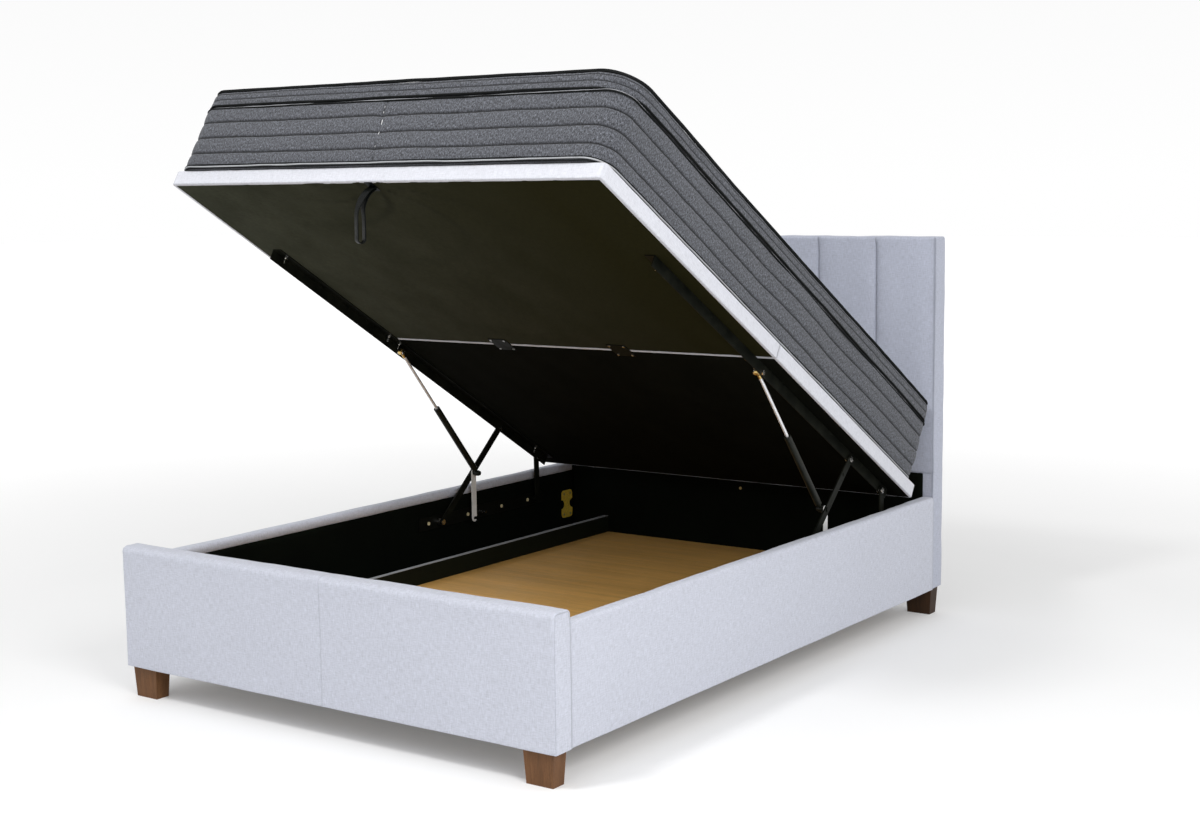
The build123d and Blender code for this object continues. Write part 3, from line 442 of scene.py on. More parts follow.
class Net:
    """A node tree, with short calls for the nodes that the materials share."""

    def __init__(self, tree):
        self.tree = tree

    def node(self, kind, sockets=None, **values):
        """Adds a node; a socket's value may be a number, a colour or another node's output."""
        made = self.tree.nodes.new("ShaderNode" + kind)
        for key, value in values.items():
            setattr(made, key, value)
        for key, value in (sockets or {}).items():
            self.fill(made.inputs[key], value)
        return made

    def fill(self, socket, value):
        """Links an output to a socket, or sets its number or colour."""
        if isinstance(value, bpy.types.NodeSocket):
            self.tree.links.new(value, socket)
        elif socket.type == "RGBA":
            socket.default_value = (*value[:3], 1)
        else:
            socket.default_value = value

    def sum(self, operation, *values):
        """One Math node's result."""
        return self.node("Math", dict(enumerate(values)), operation=operation).outputs[0]

    def times(self, first, second):
        return self.sum("MULTIPLY", first, second)

    def blend(self, first, share, second, rest):
        """share of the first and rest of the second."""
        return self.sum("MULTIPLY_ADD", first, share, self.times(second, rest))

    def spread(self, value, low, high, to_low=0.0, to_high=1.0):
        """A value's range stretched to another."""
        ends = {"From Min": low, "From Max": high, "To Min": to_low, "To Max": to_high}
        return self.node("MapRange", {"Value": value, **ends}).outputs[0]

    def noise(self, vector, across, along, detail=2.0, roughness=0.5):
        """Noise whose grains are as wide and long as the two sockets or numbers say."""
        sizes = {"X": across, "Y": along, "Z": along}
        scale = self.node("CombineXYZ", {k: self.sum("DIVIDE", 1.0, v) for k, v in sizes.items()})
        moved = self.node("VectorMath", {0: vector, 1: scale.outputs[0]}, operation="MULTIPLY")
        kind = {"Vector": moved.outputs[0], "Scale": 1.0, "Detail": detail, "Roughness": roughness}
        return self.node("TexNoise", kind).outputs["Fac"]

    def crossing(self, vector, pitch):
        """Over and under of threads a pitch apart, from -1 to 1."""
        parts = self.node("SeparateXYZ", {0: vector}).outputs
        turns = self.sum("DIVIDE", 2 * math.pi, pitch)
        return self.times(*[self.sum("SINE", self.times(parts[axis], turns)) for axis in ("X", "Y")])

    def mix(self, factor, first, second, mode="MIX"):
        """One colour Mix node's result."""
        made = self.node("Mix", data_type="RGBA", blend_type=mode)
        for place, value in ((0, factor), (6, first), (7, second)):
            self.fill(made.inputs[place], value)
        return made.outputs[2]

    def shade(self, colour, factor):
        """A colour multiplied by a factor."""
        grey = self.node("CombineColor", {0: factor, 1: factor, 2: factor}).outputs[0]
        return self.mix(1.0, colour, grey, "MULTIPLY")

    def shared(self, group, vector, **values):
        """A node group placed with its own values: its outputs."""
        made = self.node("Group", node_tree=group)
        self.fill(made.inputs["Vector"], vector)
        for key, value in values.items():
            made.inputs[key.replace("_", " ")].default_value = value
        return made.outputs

    def cloth_place(self):
        """The place on the cloth, in metres, that the pieces carry as their UV map."""
        return self.node("UVMap", uv_map="cloth").outputs[0]

    def frame_place(self):
        """The place on a frame node, in metres."""
        return self.node("TexCoord").outputs["Object"]

    def seam(self):
        """The pieces' seam attribute, which holds painted shade at seams, creases and folds."""
        return self.node("Attribute", attribute_name="seam").outputs["Fac"]

    def finish(self, colour, height, distance, strength, roughness=None):
        """Feeds the shader its colour, small relief and, if given, roughness: the material."""
        self.fill(self.shader.inputs["Base Color"], colour)
        if roughness is not None:
            self.fill(self.shader.inputs["Roughness"], roughness)
        relief = self.node("Bump", {"Height": height, "Distance": distance, "Strength": strength})
        self.fill(self.shader.inputs["Normal"], relief.outputs[0])
        return self.material


def new_material(name, roughness, metallic=0.0, **constants):
    """Net of a material with a Principled shader; constants are set on its own sockets."""
    material = bpy.data.materials.new(name)
    material.use_nodes = True
    net = Net(material.node_tree)
    net.material, net.shader = material, material.node_tree.nodes["Principled BSDF"]
    for key, value in {"Roughness": roughness, "Metallic": metallic, **constants}.items():
        net.shader.inputs[key.replace("_", " ")].default_value = value
    return net


def shared_group(name, inputs, outputs, build):
    """A node group made once: a vector and named numbers in, and what build gives out."""
    if name in bpy.data.node_groups:
        return bpy.data.node_groups[name]
    tree = bpy.data.node_groups.new(name, "ShaderNodeTree")
    tree.interface.new_socket(name="Vector", in_out="INPUT", socket_type="NodeSocketVector")
    for label, default in inputs.items():
        socket = tree.interface.new_socket(name=label, in_out="INPUT", socket_type="NodeSocketFloat")
        socket.default_value = default
    for label in outputs:
        tree.interface.new_socket(name=label, in_out="OUTPUT", socket_type="NodeSocketFloat")
    given, result = tree.nodes.new("NodeGroupInput"), tree.nodes.new("NodeGroupOutput")
    made = build(Net(tree), *[given.outputs[label] for label in ("Vector", *inputs)])
    for label, value in zip(outputs, made):
        tree.links.new(value, result.inputs[label])
    return tree


def linen_threads():
    """Plain weave with slubs both ways: Tone is a colour factor about 1, Height in units of one thread."""

    def build(net, vector, thread, slub, contrast):
        wide = net.times(thread, 2.4)
        ways = net.sum("ADD", net.noise(vector, thread, slub), net.noise(vector, slub, thread))
        both = net.sum("ADD", ways, net.times(net.noise(vector, wide, slub), 0.4))
        centred = net.sum("SUBTRACT", both, 1.2)
        tone = net.sum("MULTIPLY_ADD", centred, contrast, 1.0)
        return tone, net.sum("ADD", centred, net.times(net.crossing(vector, thread), 0.35))

    inputs = {"Thread": 0.0011, "Slub Length": 0.03, "Contrast": 0.2}
    return shared_group("Linen threads", inputs, ("Tone", "Height"), build)


def heather_knit():
    """Fine knit of mixed light and dark yarn: Flecks is 0 to 1, Height in units of one stitch."""

    def build(net, vector, stitch, length):
        fine = net.noise(vector, stitch, length, 3.0, 0.6)
        coarse = net.noise(vector, net.times(stitch, 2.6), net.times(length, 1.4))
        mixed = net.blend(fine, 0.6, coarse, 0.4)
        height = net.sum("MULTIPLY_ADD", net.crossing(vector, stitch), 0.3, mixed)
        return net.spread(mixed, 0.36, 0.64), height

    inputs = {"Stitch": 0.0016, "Fleck Length": 0.006}
    return shared_group("Heather knit", inputs, ("Flecks", "Height"), build)


def wood_grain():
    """Straight grain along the vector's X: Grain is 0 to 1, Pores are fine dark dashes."""

    def build(net, vector, width, length):
        lines = net.noise(vector, length, width, 4.0, 0.65)
        bands = net.noise(vector, net.times(length, 2.5), net.times(width, 7.0))
        fine = net.noise(vector, net.times(length, 0.08), net.times(width, 0.22))
        return net.spread(net.blend(lines, 0.55, bands, 0.45), 0.33, 0.67), net.spread(fine, 0.58, 0.66)

    inputs = {"Line Width": 0.004, "Line Length": 0.35}
    return shared_group("Wood grain", inputs, ("Grain", "Pores"), build)


def handling_wear():
    """Smudges and small scratches: Smudge and Scratch are 0 to 1."""

    def build(net, vector, patch):
        cloud = net.noise(vector, patch, patch, 4.0, 0.6)
        fine = net.noise(vector, net.times(patch, 0.02), net.times(patch, 0.5))
        return net.spread(cloud, 0.4, 0.68), net.spread(fine, 0.66, 0.74)

    return shared_group("Handling wear", {"Patch": 0.06}, ("Smudge", "Scratch"), build)


def scaled(colour, share):
    """A colour made darker or lighter, by one share or one for each channel."""
    return [float(c) for c in np.array(tuple(colour)) * share]


def upholstery_material(name, colour, contrast):
    """Light woven cloth over foam: slubbed threads, a soft uneven tone, and painted shade at its seams."""
    net = new_material(name, 0.9, Sheen_Weight=0.2, Sheen_Roughness=0.5)
    place = net.cloth_place()
    near = net.shared(linen_threads(), place, Thread=0.0011, Slub_Length=0.016, Contrast=contrast)
    far = net.shared(linen_threads(), place, Thread=0.0024, Slub_Length=0.02, Contrast=contrast * 1.6)
    patches = net.sum("MULTIPLY_ADD", net.noise(place, 0.22, 0.16, 3.0, 0.6), 0.06, 0.97)
    woven = net.shade(colour, net.times(net.times(near["Tone"], far["Tone"]), patches))
    # Painted shade: the cloth darkens where the seam attribute is set, at seams, corners and grooves.
    shaded = net.mix(net.times(net.seam(), 0.75), woven, scaled(colour, 0.42))
    rough = net.sum("MULTIPLY_ADD", near["Tone"], -0.25, 1.13)
    return net.finish(shaded, near["Height"], 0.0004, 0.7, rough)


def knit_material(name, dark, light):
    """Charcoal heather knit of the mattress, with painted shade, nearly black, along its seams, quilting
    lines and valley.
    """
    net = new_material(name, 0.88, Sheen_Weight=0.12, Sheen_Roughness=0.45)
    place = net.cloth_place()
    knit = net.shared(heather_knit(), place, Stitch=0.0020, Fleck_Length=0.0075)
    fine = net.shared(heather_knit(), place, Stitch=0.0013, Fleck_Length=0.0045)
    flecks = net.sum("POWER", net.blend(knit["Flecks"], 0.45, fine["Flecks"], 0.55), 2.0)
    yarn = net.mix(flecks, scaled(dark, 0.66), scaled(light, (1.24, 1.27, 1.36)))
    patches = net.sum("MULTIPLY_ADD", net.noise(place, 0.3, 0.12, 3.0, 0.6), 0.2, 0.9)
    # Painted shade: the seam attribute darkens the knit almost to black.
    sewn = net.times(net.sum("POWER", net.seam(), 1.2), 0.97)
    shaded = net.mix(sewn, net.shade(yarn, patches), (0.003, 0.003, 0.004))
    return net.finish(shaded, knit["Height"], 0.0006, 0.8)


def dark_cloth_material(name, colour, light, thread=0.0012, specular=0.06, shaded_side=None):
    """Plain thin cloth with faint fibres and lint, and painted shade where the seam attribute is set; the
    last argument, if given, is a darker colour painted towards the right side as shade.
    """
    net = new_material(name, 0.95, Specular_IOR_Level=specular)
    place = net.cloth_place()
    threads = net.shared(linen_threads(), place, Thread=thread, Slub_Length=0.02, Contrast=0.5)
    base = net.mix(net.spread(net.noise(place, 0.18, 0.25, 4.0, 0.6), 0.35, 0.7), colour, light)
    if shaded_side:
        # Painted shade: the cloth turns to the darker colour towards the right side.
        across = net.node("SeparateXYZ", {"Vector": place}).outputs["X"]
        base = net.mix(net.spread(across, -0.65, 0.55), base, shaded_side)
    # Painted shade where the seam attribute is set.
    shaded = net.mix(net.times(net.seam(), 0.8), net.shade(base, threads["Tone"]), scaled(colour, 0.2))
    return net.finish(shaded, threads["Height"], 0.0003, 0.6)


def leather_material(name, colour, light):
    """Smooth black strap leather with a fine pebble."""
    net = new_material(name, 0.5, Specular_IOR_Level=0.08)
    place = net.cloth_place()
    pebble = net.node("TexVoronoi", {"Vector": place, "Scale": 900.0}, feature="F1").outputs["Distance"]
    smudge = net.shared(handling_wear(), place, Patch=0.03)["Smudge"]
    rough = net.sum("MULTIPLY_ADD", smudge, 0.18, 0.34)
    return net.finish(net.mix(smudge, colour, light), pebble, 0.0005, 0.5, rough)


def metal_material(name, colour, worn, roughness, metallic, patch=0.05, scratch=0.35, specular=0.5):
    """Painted, plated or bare metal with smudges, scratches and uneven gloss."""
    net = new_material(name, roughness, metallic, Specular_IOR_Level=specular)
    wear = net.shared(handling_wear(), net.frame_place(), Patch=patch)
    dulled = net.mix(net.times(wear["Smudge"], 0.35), colour, worn)
    scratched = net.mix(net.times(wear["Scratch"], scratch), dulled, worn)
    rough = net.sum("MULTIPLY_ADD", wear["Smudge"], 0.16, roughness - 0.05)
    return net.finish(scratched, wear["Scratch"], 0.0001, -0.4, rough)


def wood_material(name, light, dark, roughness, line, length, turn=(0, 0, 0), pore=0.4, specular=0.5):
    """Wood whose grain runs along X once the place has been turned."""
    net = new_material(name, roughness, Specular_IOR_Level=specular)
    place = net.node("Mapping", {"Vector": net.frame_place(), "Rotation": turn}).outputs[0]
    grain = net.shared(wood_grain(), place, Line_Width=line, Line_Length=length)
    smudge = net.shared(handling_wear(), place, Patch=0.12)["Smudge"]
    lined = net.mix(grain["Grain"], light, dark)
    pored = net.mix(net.times(grain["Pores"], pore), lined, scaled(dark, 0.5))
    toned = net.mix(net.times(smudge, 0.14), pored, light)
    rough = net.sum("MULTIPLY_ADD", smudge, 0.12, roughness - 0.04)
    return net.finish(toned, grain["Grain"], 0.0002, 0.35, rough)


def cloth_material():
    """The upholstery cloth, made once."""
    given = settings("bed_upholstery")
    found = bpy.data.materials.get("upholstery cloth")
    return found or upholstery_material("upholstery cloth", given.colour, given.contrast)


def lining_material():
    """The black cloth of the linings, made once."""
    colour = tuple(settings("bed_lining").lining)
    found = bpy.data.materials.get("black lining cloth")
    return found or dark_cloth_material("black lining cloth", colour, scaled(colour, 1.7))


# Sizes and colours that a user would change

def number(name, description, default, **more):
    return bpy.props.FloatProperty(name=name, description=description, default=default, **more)


def length(name, description, default):
    return number(name, description, default, min=0.0, unit="LENGTH", subtype="DISTANCE")


def count_of(name, description, default):
    return bpy.props.IntProperty(name=name, description=description, default=default, min=1)


def angle(name, description, degrees):
    return number(name, description, math.radians(degrees), subtype="ANGLE")


def colour(name, description, default):
    return bpy.props.FloatVectorProperty(
        name=name, description=description, default=default, size=3, min=0.0, max=1.0, subtype="COLOR"
    )


class StageSettings(bpy.types.PropertyGroup):
    """Floor, lamps and camera."""

    lens: number("Lens", "Focal length, mm on a 36 mm sensor", 54.18, min=20.0)
    camera_place: bpy.props.FloatVectorProperty(
        name="Camera place", description="Where the camera stands", default=(3.3148, -4.4979, 1.4583),
        size=3, subtype="TRANSLATION",
    )
    camera_turn: angle("Turn", "Heading of the camera, left of straight ahead", 35.298)
    camera_dip: angle("Dip", "How far the camera looks down", 7.236)
    camera_roll: number("Roll", "Lean of the camera", -0.0121978, subtype="ANGLE")
    sky: number("Room light", "Strength of the even light", 0.75, min=0.0)
    key: number("Key lamp", "Power of the large soft lamp", 68.0, unit="POWER")
    fill: number("Fill lamp", "Power of the fill lamp", 106.0, unit="POWER")
    floor_colour: colour("Floor", "Colour of the floor", (0.82, 0.82, 0.82))


class UpholsterySettings(bpy.types.PropertyGroup):
    """Cloth covers of the bed frame and platform."""

    colour: colour("Cloth", "Colour of the woven cloth", (0.56, 0.58, 0.66))
    border_colour: colour("Platform cloth", "Colour of the platform's edge cloth", (0.66, 0.67, 0.725))
    contrast: number("Slub contrast", "How much the threads differ in tone", 0.25, min=0.0, max=1.0)
    grid: length("Grid", "Step of the cover meshes", 0.012)
    top_radius: length("Footboard edge", "Radius of the footboard's upper edges", 0.018)
    rail_radius: length("Rail edge", "Radius of the rails' upper edges", 0.012)
    corner_radius: length("Corner", "Radius of the upright corners", 0.005)
    seam_depth: length("Seam depth", "How far a seam is drawn in", 0.0016)
    channel_count: count_of("Channels", "Channels across the headboard", 7)
    channel_depth: length("Channel depth", "Depth of the headboard's seams", 0.013)
    plain_height: length("Plain band", "Height of the band below the channels", 0.485)


class MattressSettings(bpy.types.PropertyGroup):
    """Mattress and its piping."""

    dark: colour("Dark yarn", "Darker yarn of the knit", (0.010, 0.010, 0.011))
    light: colour("Light yarn", "Lighter yarn of the knit", (0.225, 0.232, 0.252))
    corner_radius: length("Corner", "Radius of the mattress corners", 0.110)
    border_seams: count_of("Border seams", "Quilting lines on the border", 3)
    pillow_seams: count_of("Pillow seams", "Fine lines on the pillow layer", 2)
    seam_depth: length("Seam depth", "How far the quilting draws the border in", 0.0045)
    valley_drop: length("Valley drop", "How far the filling pulls the valley down", 0.0065)
    rise: length("Rise", "How far the pillow layer swells above its frame solid", 0.007)
    lean: length("Lean", "Extra swelling towards the headboard, where the mattress settles", 0.007)
    valley_depth: length("Valley", "Depth of the gap under the pillow layer", 0.014)
    edge_radius: length("Upper edge", "Radius of the pillow layer's upper edge", 0.024)
    quilt: length("Quilt", "Size of the diamonds quilted on the top", 0.19)


class LiningSettings(bpy.types.PropertyGroup):
    """Black cloths inside and under the bed."""

    lining: colour("Lining", "Colour of the well's lining", (0.0016, 0.0024, 0.0014))
    dust: colour("Dust cover", "Colour of the cloth under the platform", (0.033, 0.035, 0.0225))
    dust_light: colour("Dust cover, rubbed", "Its paler patches", (0.052, 0.054, 0.037))
    # Painted shade: a darker colour that the foot cover turns to towards the right side.
    dust_shaded_side: colour("Dust cover, clean", "Its colour towards the right side", (0.014, 0.0128, 0.0032))
    sag: length("Sag", "How far the dust covers hang", 0.005)


class StrapSettings(bpy.types.PropertyGroup):
    """Pull strap under the foot edge."""

    width: length("Width", "Width of the strap", 0.026)
    thickness: length("Thickness", "Thickness of the strap", 0.0025)
    hang: length("Hang", "How far the loop hangs", 0.146)
    sweep: length("Sweep", "How far the loop's belly swings towards the foot", 0.052)
    belly: length("Belly", "Width of the loop at its belly", 0.024)
    twist: angle("Twist", "How far the loop turns as it hangs", 28)
    mouth: length("Mouth", "Width of the loop at its top", 0.009)
    colour: colour("Leather", "Colour of the strap", (0.0028, 0.0034, 0.003))


class FinishSettings(bpy.types.PropertyGroup):
    """Colours of the wood and metal parts."""

    leg: colour("Legs", "Stain of the legs", (0.19, 0.088, 0.036))
    floor_board: colour("Floor boards", "Light grain of the floor boards", (0.80, 0.45, 0.13))
    steel: colour("Black steel", "Paint of the lift arms", (0.006, 0.007, 0.005))
    zinc: colour("Zinc", "Plating of nuts and rivets", (0.78, 0.77, 0.74))
    brass: colour("Brass plate", "Yellow plating of brackets and eyes", (0.95, 0.66, 0.08))


SETTINGS = {
    "bed_stage": StageSettings,
    "bed_upholstery": UpholsterySettings,
    "bed_mattress": MattressSettings,
    "bed_lining": LiningSettings,
    "bed_strap": StrapSettings,
    "bed_finish": FinishSettings,
}


def settings(name):
    return getattr(bpy.context.scene, name)


# Stage

class BED_OT_stage(bpy.types.Operator):
    """Builds the pale floor, the soft light and the camera"""

    bl_idname = "bed.stage"
    bl_label = "Stage"

    def execute(self, context):
        given = settings("bed_stage")
        self.floor(given)
        self.room(context, given)
        self.lamps(given)
        self.camera(context, given)
        context.scene.view_settings.view_transform = "Standard"
        return {"FINISHED"}

    def seen(self, net):
        """1 for what the camera sees directly, in gloss or through a clear piece."""
        path = net.node("LightPath").outputs
        seen = net.sum("MAXIMUM", path["Is Camera Ray"], path["Is Glossy Ray"])
        return net.sum("MAXIMUM", seen, path["Is Transmission Ray"])

    def floor(self, given):
        """Wide floor that reads white to the camera and keeps the bed's shadow."""
        places = [-40.0, -8.0, -4.0, 0.0, 4.0, 8.0, 40.0]
        points = [(x, y, 0.0) for y in places for x in places]
        faces = grid_faces(len(places), len(places))
        floor = make_piece("studio_floor", points, faces, [points[i][:2] for f in faces for i in f])
        net = new_material("studio floor", 0.75, Specular_IOR_Level=0.2)
        tone = net.sum("MULTIPLY_ADD", net.noise(net.cloth_place(), 0.9, 0.7, 3.0), 0.03, 0.985)
        net.fill(net.shader.inputs["Base Color"], net.shade(given.floor_colour, tone))
        away = net.node("VectorMath", {0: net.cloth_place()}, operation="LENGTH").outputs["Value"]
        bright = net.spread(away, 2.2, 7.0, 0.14, 0.55)
        glow = net.node("Emission", {"Strength": net.times(self.seen(net), bright)})
        both = net.node("AddShader", {0: net.shader.outputs[0], 1: glow.outputs[0]})
        net.fill(net.tree.nodes["Material Output"].inputs["Surface"], both.outputs[0])
        floor.data.materials.append(net.material)

    def room(self, context, given):
        """Even light all round; the camera and reflections see it nearly white."""
        world = bpy.data.worlds.new("studio room")
        context.scene.world = world
        world.use_nodes = True
        net = Net(world.node_tree)
        background = net.tree.nodes["Background"].inputs
        up = net.node("SeparateXYZ", {0: net.node("TexCoord").outputs["Generated"]}).outputs["Z"]
        wall = net.spread(up, 0.0, 0.2, 1.0, 0.93)
        net.fill(background["Color"], net.node("CombineColor", {0: wall, 1: wall, 2: wall}).outputs[0])
        strength = net.sum("MULTIPLY_ADD", self.seen(net), 1.0 - given.sky, given.sky)
        net.fill(background["Strength"], strength)

    def lamps(self, given):
        """One large soft lamp above the foot end, and a broader one by the camera."""
        for name, power, size, place, aim in (
            ("key lamp", given.key, 0.7, (-0.35, -3.0, 4.5), (0.0, -0.4, 0.4)),
            ("fill lamp", given.fill, 2.0, (4.1, -2.6, 2.9), (0.4, -0.6, 0.4)),
        ):
            data = bpy.data.lights.new(name, "AREA")
            data.energy, data.size, data.shape = power, size, "SQUARE"
            lamp = bpy.data.objects.new(name, data)
            lamp.location = place
            lamp.rotation_mode = "QUATERNION"
            lamp.rotation_quaternion = (Vector(aim) - Vector(place)).to_track_quat("-Z", "Y")
            bpy.context.scene.collection.objects.link(lamp)

    def camera(self, context, given):
        """Camera at the photographed angle."""
        data = bpy.data.cameras.new("camera")
        data.lens, data.sensor_width = given.lens, 36.0
        data.clip_start, data.clip_end = 0.05, 200.0
        camera = bpy.data.objects.new("camera", data)
        turn, dip, roll = given.camera_turn, given.camera_dip, given.camera_roll
        ahead = Vector((-math.sin(turn) * math.cos(dip), math.cos(turn) * math.cos(dip), -math.sin(dip)))
        right = Vector((math.cos(turn), math.sin(turn), 0.0))
        up = right.cross(ahead)
        across = math.cos(roll) * right + math.sin(roll) * up
        upright = -math.sin(roll) * right + math.cos(roll) * up
        rows = [[across[k], upright[k], -ahead[k], given.camera_place[k]] for k in range(3)]
        camera.matrix_world = Matrix(rows + [[0, 0, 0, 1]])
        context.scene.collection.objects.link(camera)
        context.scene.camera = camera


# Upholstery

def cover_heights(low, high, step, wrap, top):
    """Rows of a cover, close together at its lower edge, the lining's top and its upper edge."""
    marks = [wrap, low[2] + LOWER_EDGE, low[2] + LOWER_EDGE / 2]
    return stations(low[2], high[2], step, marks + [high[2] - top * k for k in (0.2, 0.45, 0.7, 1.0)])


def cover_depths(low, high, step, edge, top):
    """Rows of a cover from its front to its back, close together at the edges."""
    marks = [low[1] + e for e in (*edge, top, top / 2)] + [high[1] - top, high[1] - top / 2]
    return stations(low[1], high[1], step, marks)


class BED_OT_footboard(bpy.types.Operator):
    """Covers the footboard: front, top and ends, and the turn-down inside"""

    bl_idname = "bed.footboard"
    bl_label = "Footboard cover"

    def execute(self, context):
        given = settings("bed_upholstery")
        low, high = limits("footboard_upholstery")
        rail_inner = limits("side_rail_upholstery_right")[0][0]
        wrap = limits("footboard_lining")[1][2]
        step, corner, top = given.grid, given.corner_radius, given.top_radius
        edge = (corner, corner / 2, EDGE_ROW)
        ends = [high[0] - e for e in edge] + [low[0] + e for e in edge] + [-rail_inner, rail_inner]
        seam_width, soft_top, end_reach = 0.0012, 0.06, 0.03
        xs = stations(low[0], high[0], step, beside([0.0], 0.0014, 0.004) + ends)
        ys = cover_depths(low, high, step, edge, top)
        zs = cover_heights(low, high, step, wrap, top)

        def wanted(axis, is_high, middle):
            return not (axis == 1 and is_high and abs(middle[0]) < rail_inner and middle[2] < wrap)

        flat, faces, sides = box_skin(xs, ys, zs, wanted)
        cloth = wrapped_cloth(flat, faces, sides, low, high, 0)
        near_top = smooth_step(flat[:, 2], high[2] - soft_top, high[2] - top)
        across = corner + (top - corner) * near_top
        low_radii = columns(len(flat), corner, across, LOWER_EDGE)
        points = rounded(flat, low, high, low_radii, columns(len(flat), corner, across, top))
        at_front, at_back = np.isclose(flat[:, 1], low[1]), np.isclose(flat[:, 1], high[1])
        on_top = np.isclose(flat[:, 2], high[2])
        end_seam = np.isclose(np.abs(flat[:, 0]), high[0]) & (at_front | on_top | at_back)
        middle_seam = crease(flat[:, 0], seam_width) * (at_front | on_top)
        middle_seam[at_front & (flat[:, 2] < low[2] + 0.001)] = 0
        crown = 0.0008 * near_top * at_front
        near_end = np.exp(-(high[0] - np.abs(flat[:, 0])) / end_reach)
        loose = uneven(flat * (1, 1, 0.6), (0.0007, 0.19, 11)) + 0.0005 * near_top * ripple(flat, 0.11, 12)
        puckers = 0.0005 * crease(flat[:, 0], 0.02) * ripple(flat, 0.03, 13)
        gather = 0.0005 * near_end * near_top * ripple(flat, 0.022, 14)
        drawn = given.seam_depth * np.maximum(end_seam * 0.9, middle_seam * 0.7)
        points = points + outward(points, faces) * (crown + loose + puckers + gather - drawn)[:, None]
        # Painted shade for the seam attribute: dark lines along the end and middle seams.
        seam = np.maximum(end_seam * 0.75, middle_seam * 0.42)
        cover(
            "footboard_cover", points, faces, cloth, seam,
            (0, -COVER_HEM, 0), cloth_material(), "footboard_upholstery",
        )
        return {"FINISHED"}


class BED_OT_rails(bpy.types.Operator):
    """Covers both side rails, turned over the top and down inside"""

    bl_idname = "bed.rails"
    bl_label = "Rail covers"

    def execute(self, context):
        for side, name in ((-1, "left"), (1, "right")):
            self.rail(settings("bed_upholstery"), side, name)
        return {"FINISHED"}

    def rail(self, given, side, name):
        """One rail's cover; side is -1 for the left."""
        node = f"side_rail_upholstery_{name}"
        low, high = limits(node)
        wrap = limits(f"side_rail_lining_{name}")[1][2]
        step, top = given.grid, given.rail_radius
        soft_top, end, end_seam, puff_reach = 0.05, 0.0015, 0.0042, (0.35, 0.05)
        edges = [place for k in (0.25, 0.5, 1.0) for place in (low[0] + top * k, high[0] - top * k)]
        xs = stations(low[0], high[0], step, edges)
        ys = stations(low[1], high[1], step, beside([low[1], high[1]], 0.0015, 0.0035, 0.007))
        zs = cover_heights(low, high, step, wrap, top)

        def wanted(axis, is_high, middle):
            return not (axis == 0 and is_high == (side < 0) and middle[2] < wrap)

        flat, faces, sides = box_skin(xs, ys, zs, wanted)
        cloth = wrapped_cloth(flat, faces, sides, low, high, 1)
        near_top = smooth_step(flat[:, 2], high[2] - soft_top, high[2] - top)
        across = LOWER_EDGE + (top - LOWER_EDGE) * near_top
        low_radii = columns(len(flat), across, end, LOWER_EDGE)
        points = rounded(flat, low, high, low_radii, columns(len(flat), across, end, top))
        inside = np.isclose(flat[:, 0], high[0] if side < 0 else low[0])
        held = np.minimum(flat[:, 1] - low[1], high[1] - flat[:, 1])
        loose = uneven(flat * (1, 1, 0.5), (0.0008, 0.23, 21 + side))
        loose = loose + 0.0005 * near_top * ripple(flat, 0.13, 24 + side)
        near_head = smooth_step(flat[:, 1], high[1] - puff_reach[0], high[1] - puff_reach[1])
        puff = 0.0032 * near_top * near_head * (1 + 0.25 * ripple(flat, 0.06, 27 + side))
        at_lining = smooth_step(flat[:, 2], wrap + 0.02, wrap)
        staples = 0.0008 * inside * at_lining * ripple(flat, 0.05, 29 + side)
        moved = (loose + puff + staples) * smooth_step(held, 0.0, 0.02)
        points = points + outward(points, faces) * moved[:, None]
        points[:, 2] = np.minimum(points[:, 2], high[2])
        # Painted shade: the seam attribute darkens a line at each end of the rail, where it meets the
        # footboard and headboard.
        cover(
            f"side_rail_cover_{name}", points, faces, cloth, 0.9 * crease(held, end_seam),
            (side * COVER_HEM, 0, 0), cloth_material(), node,
        )


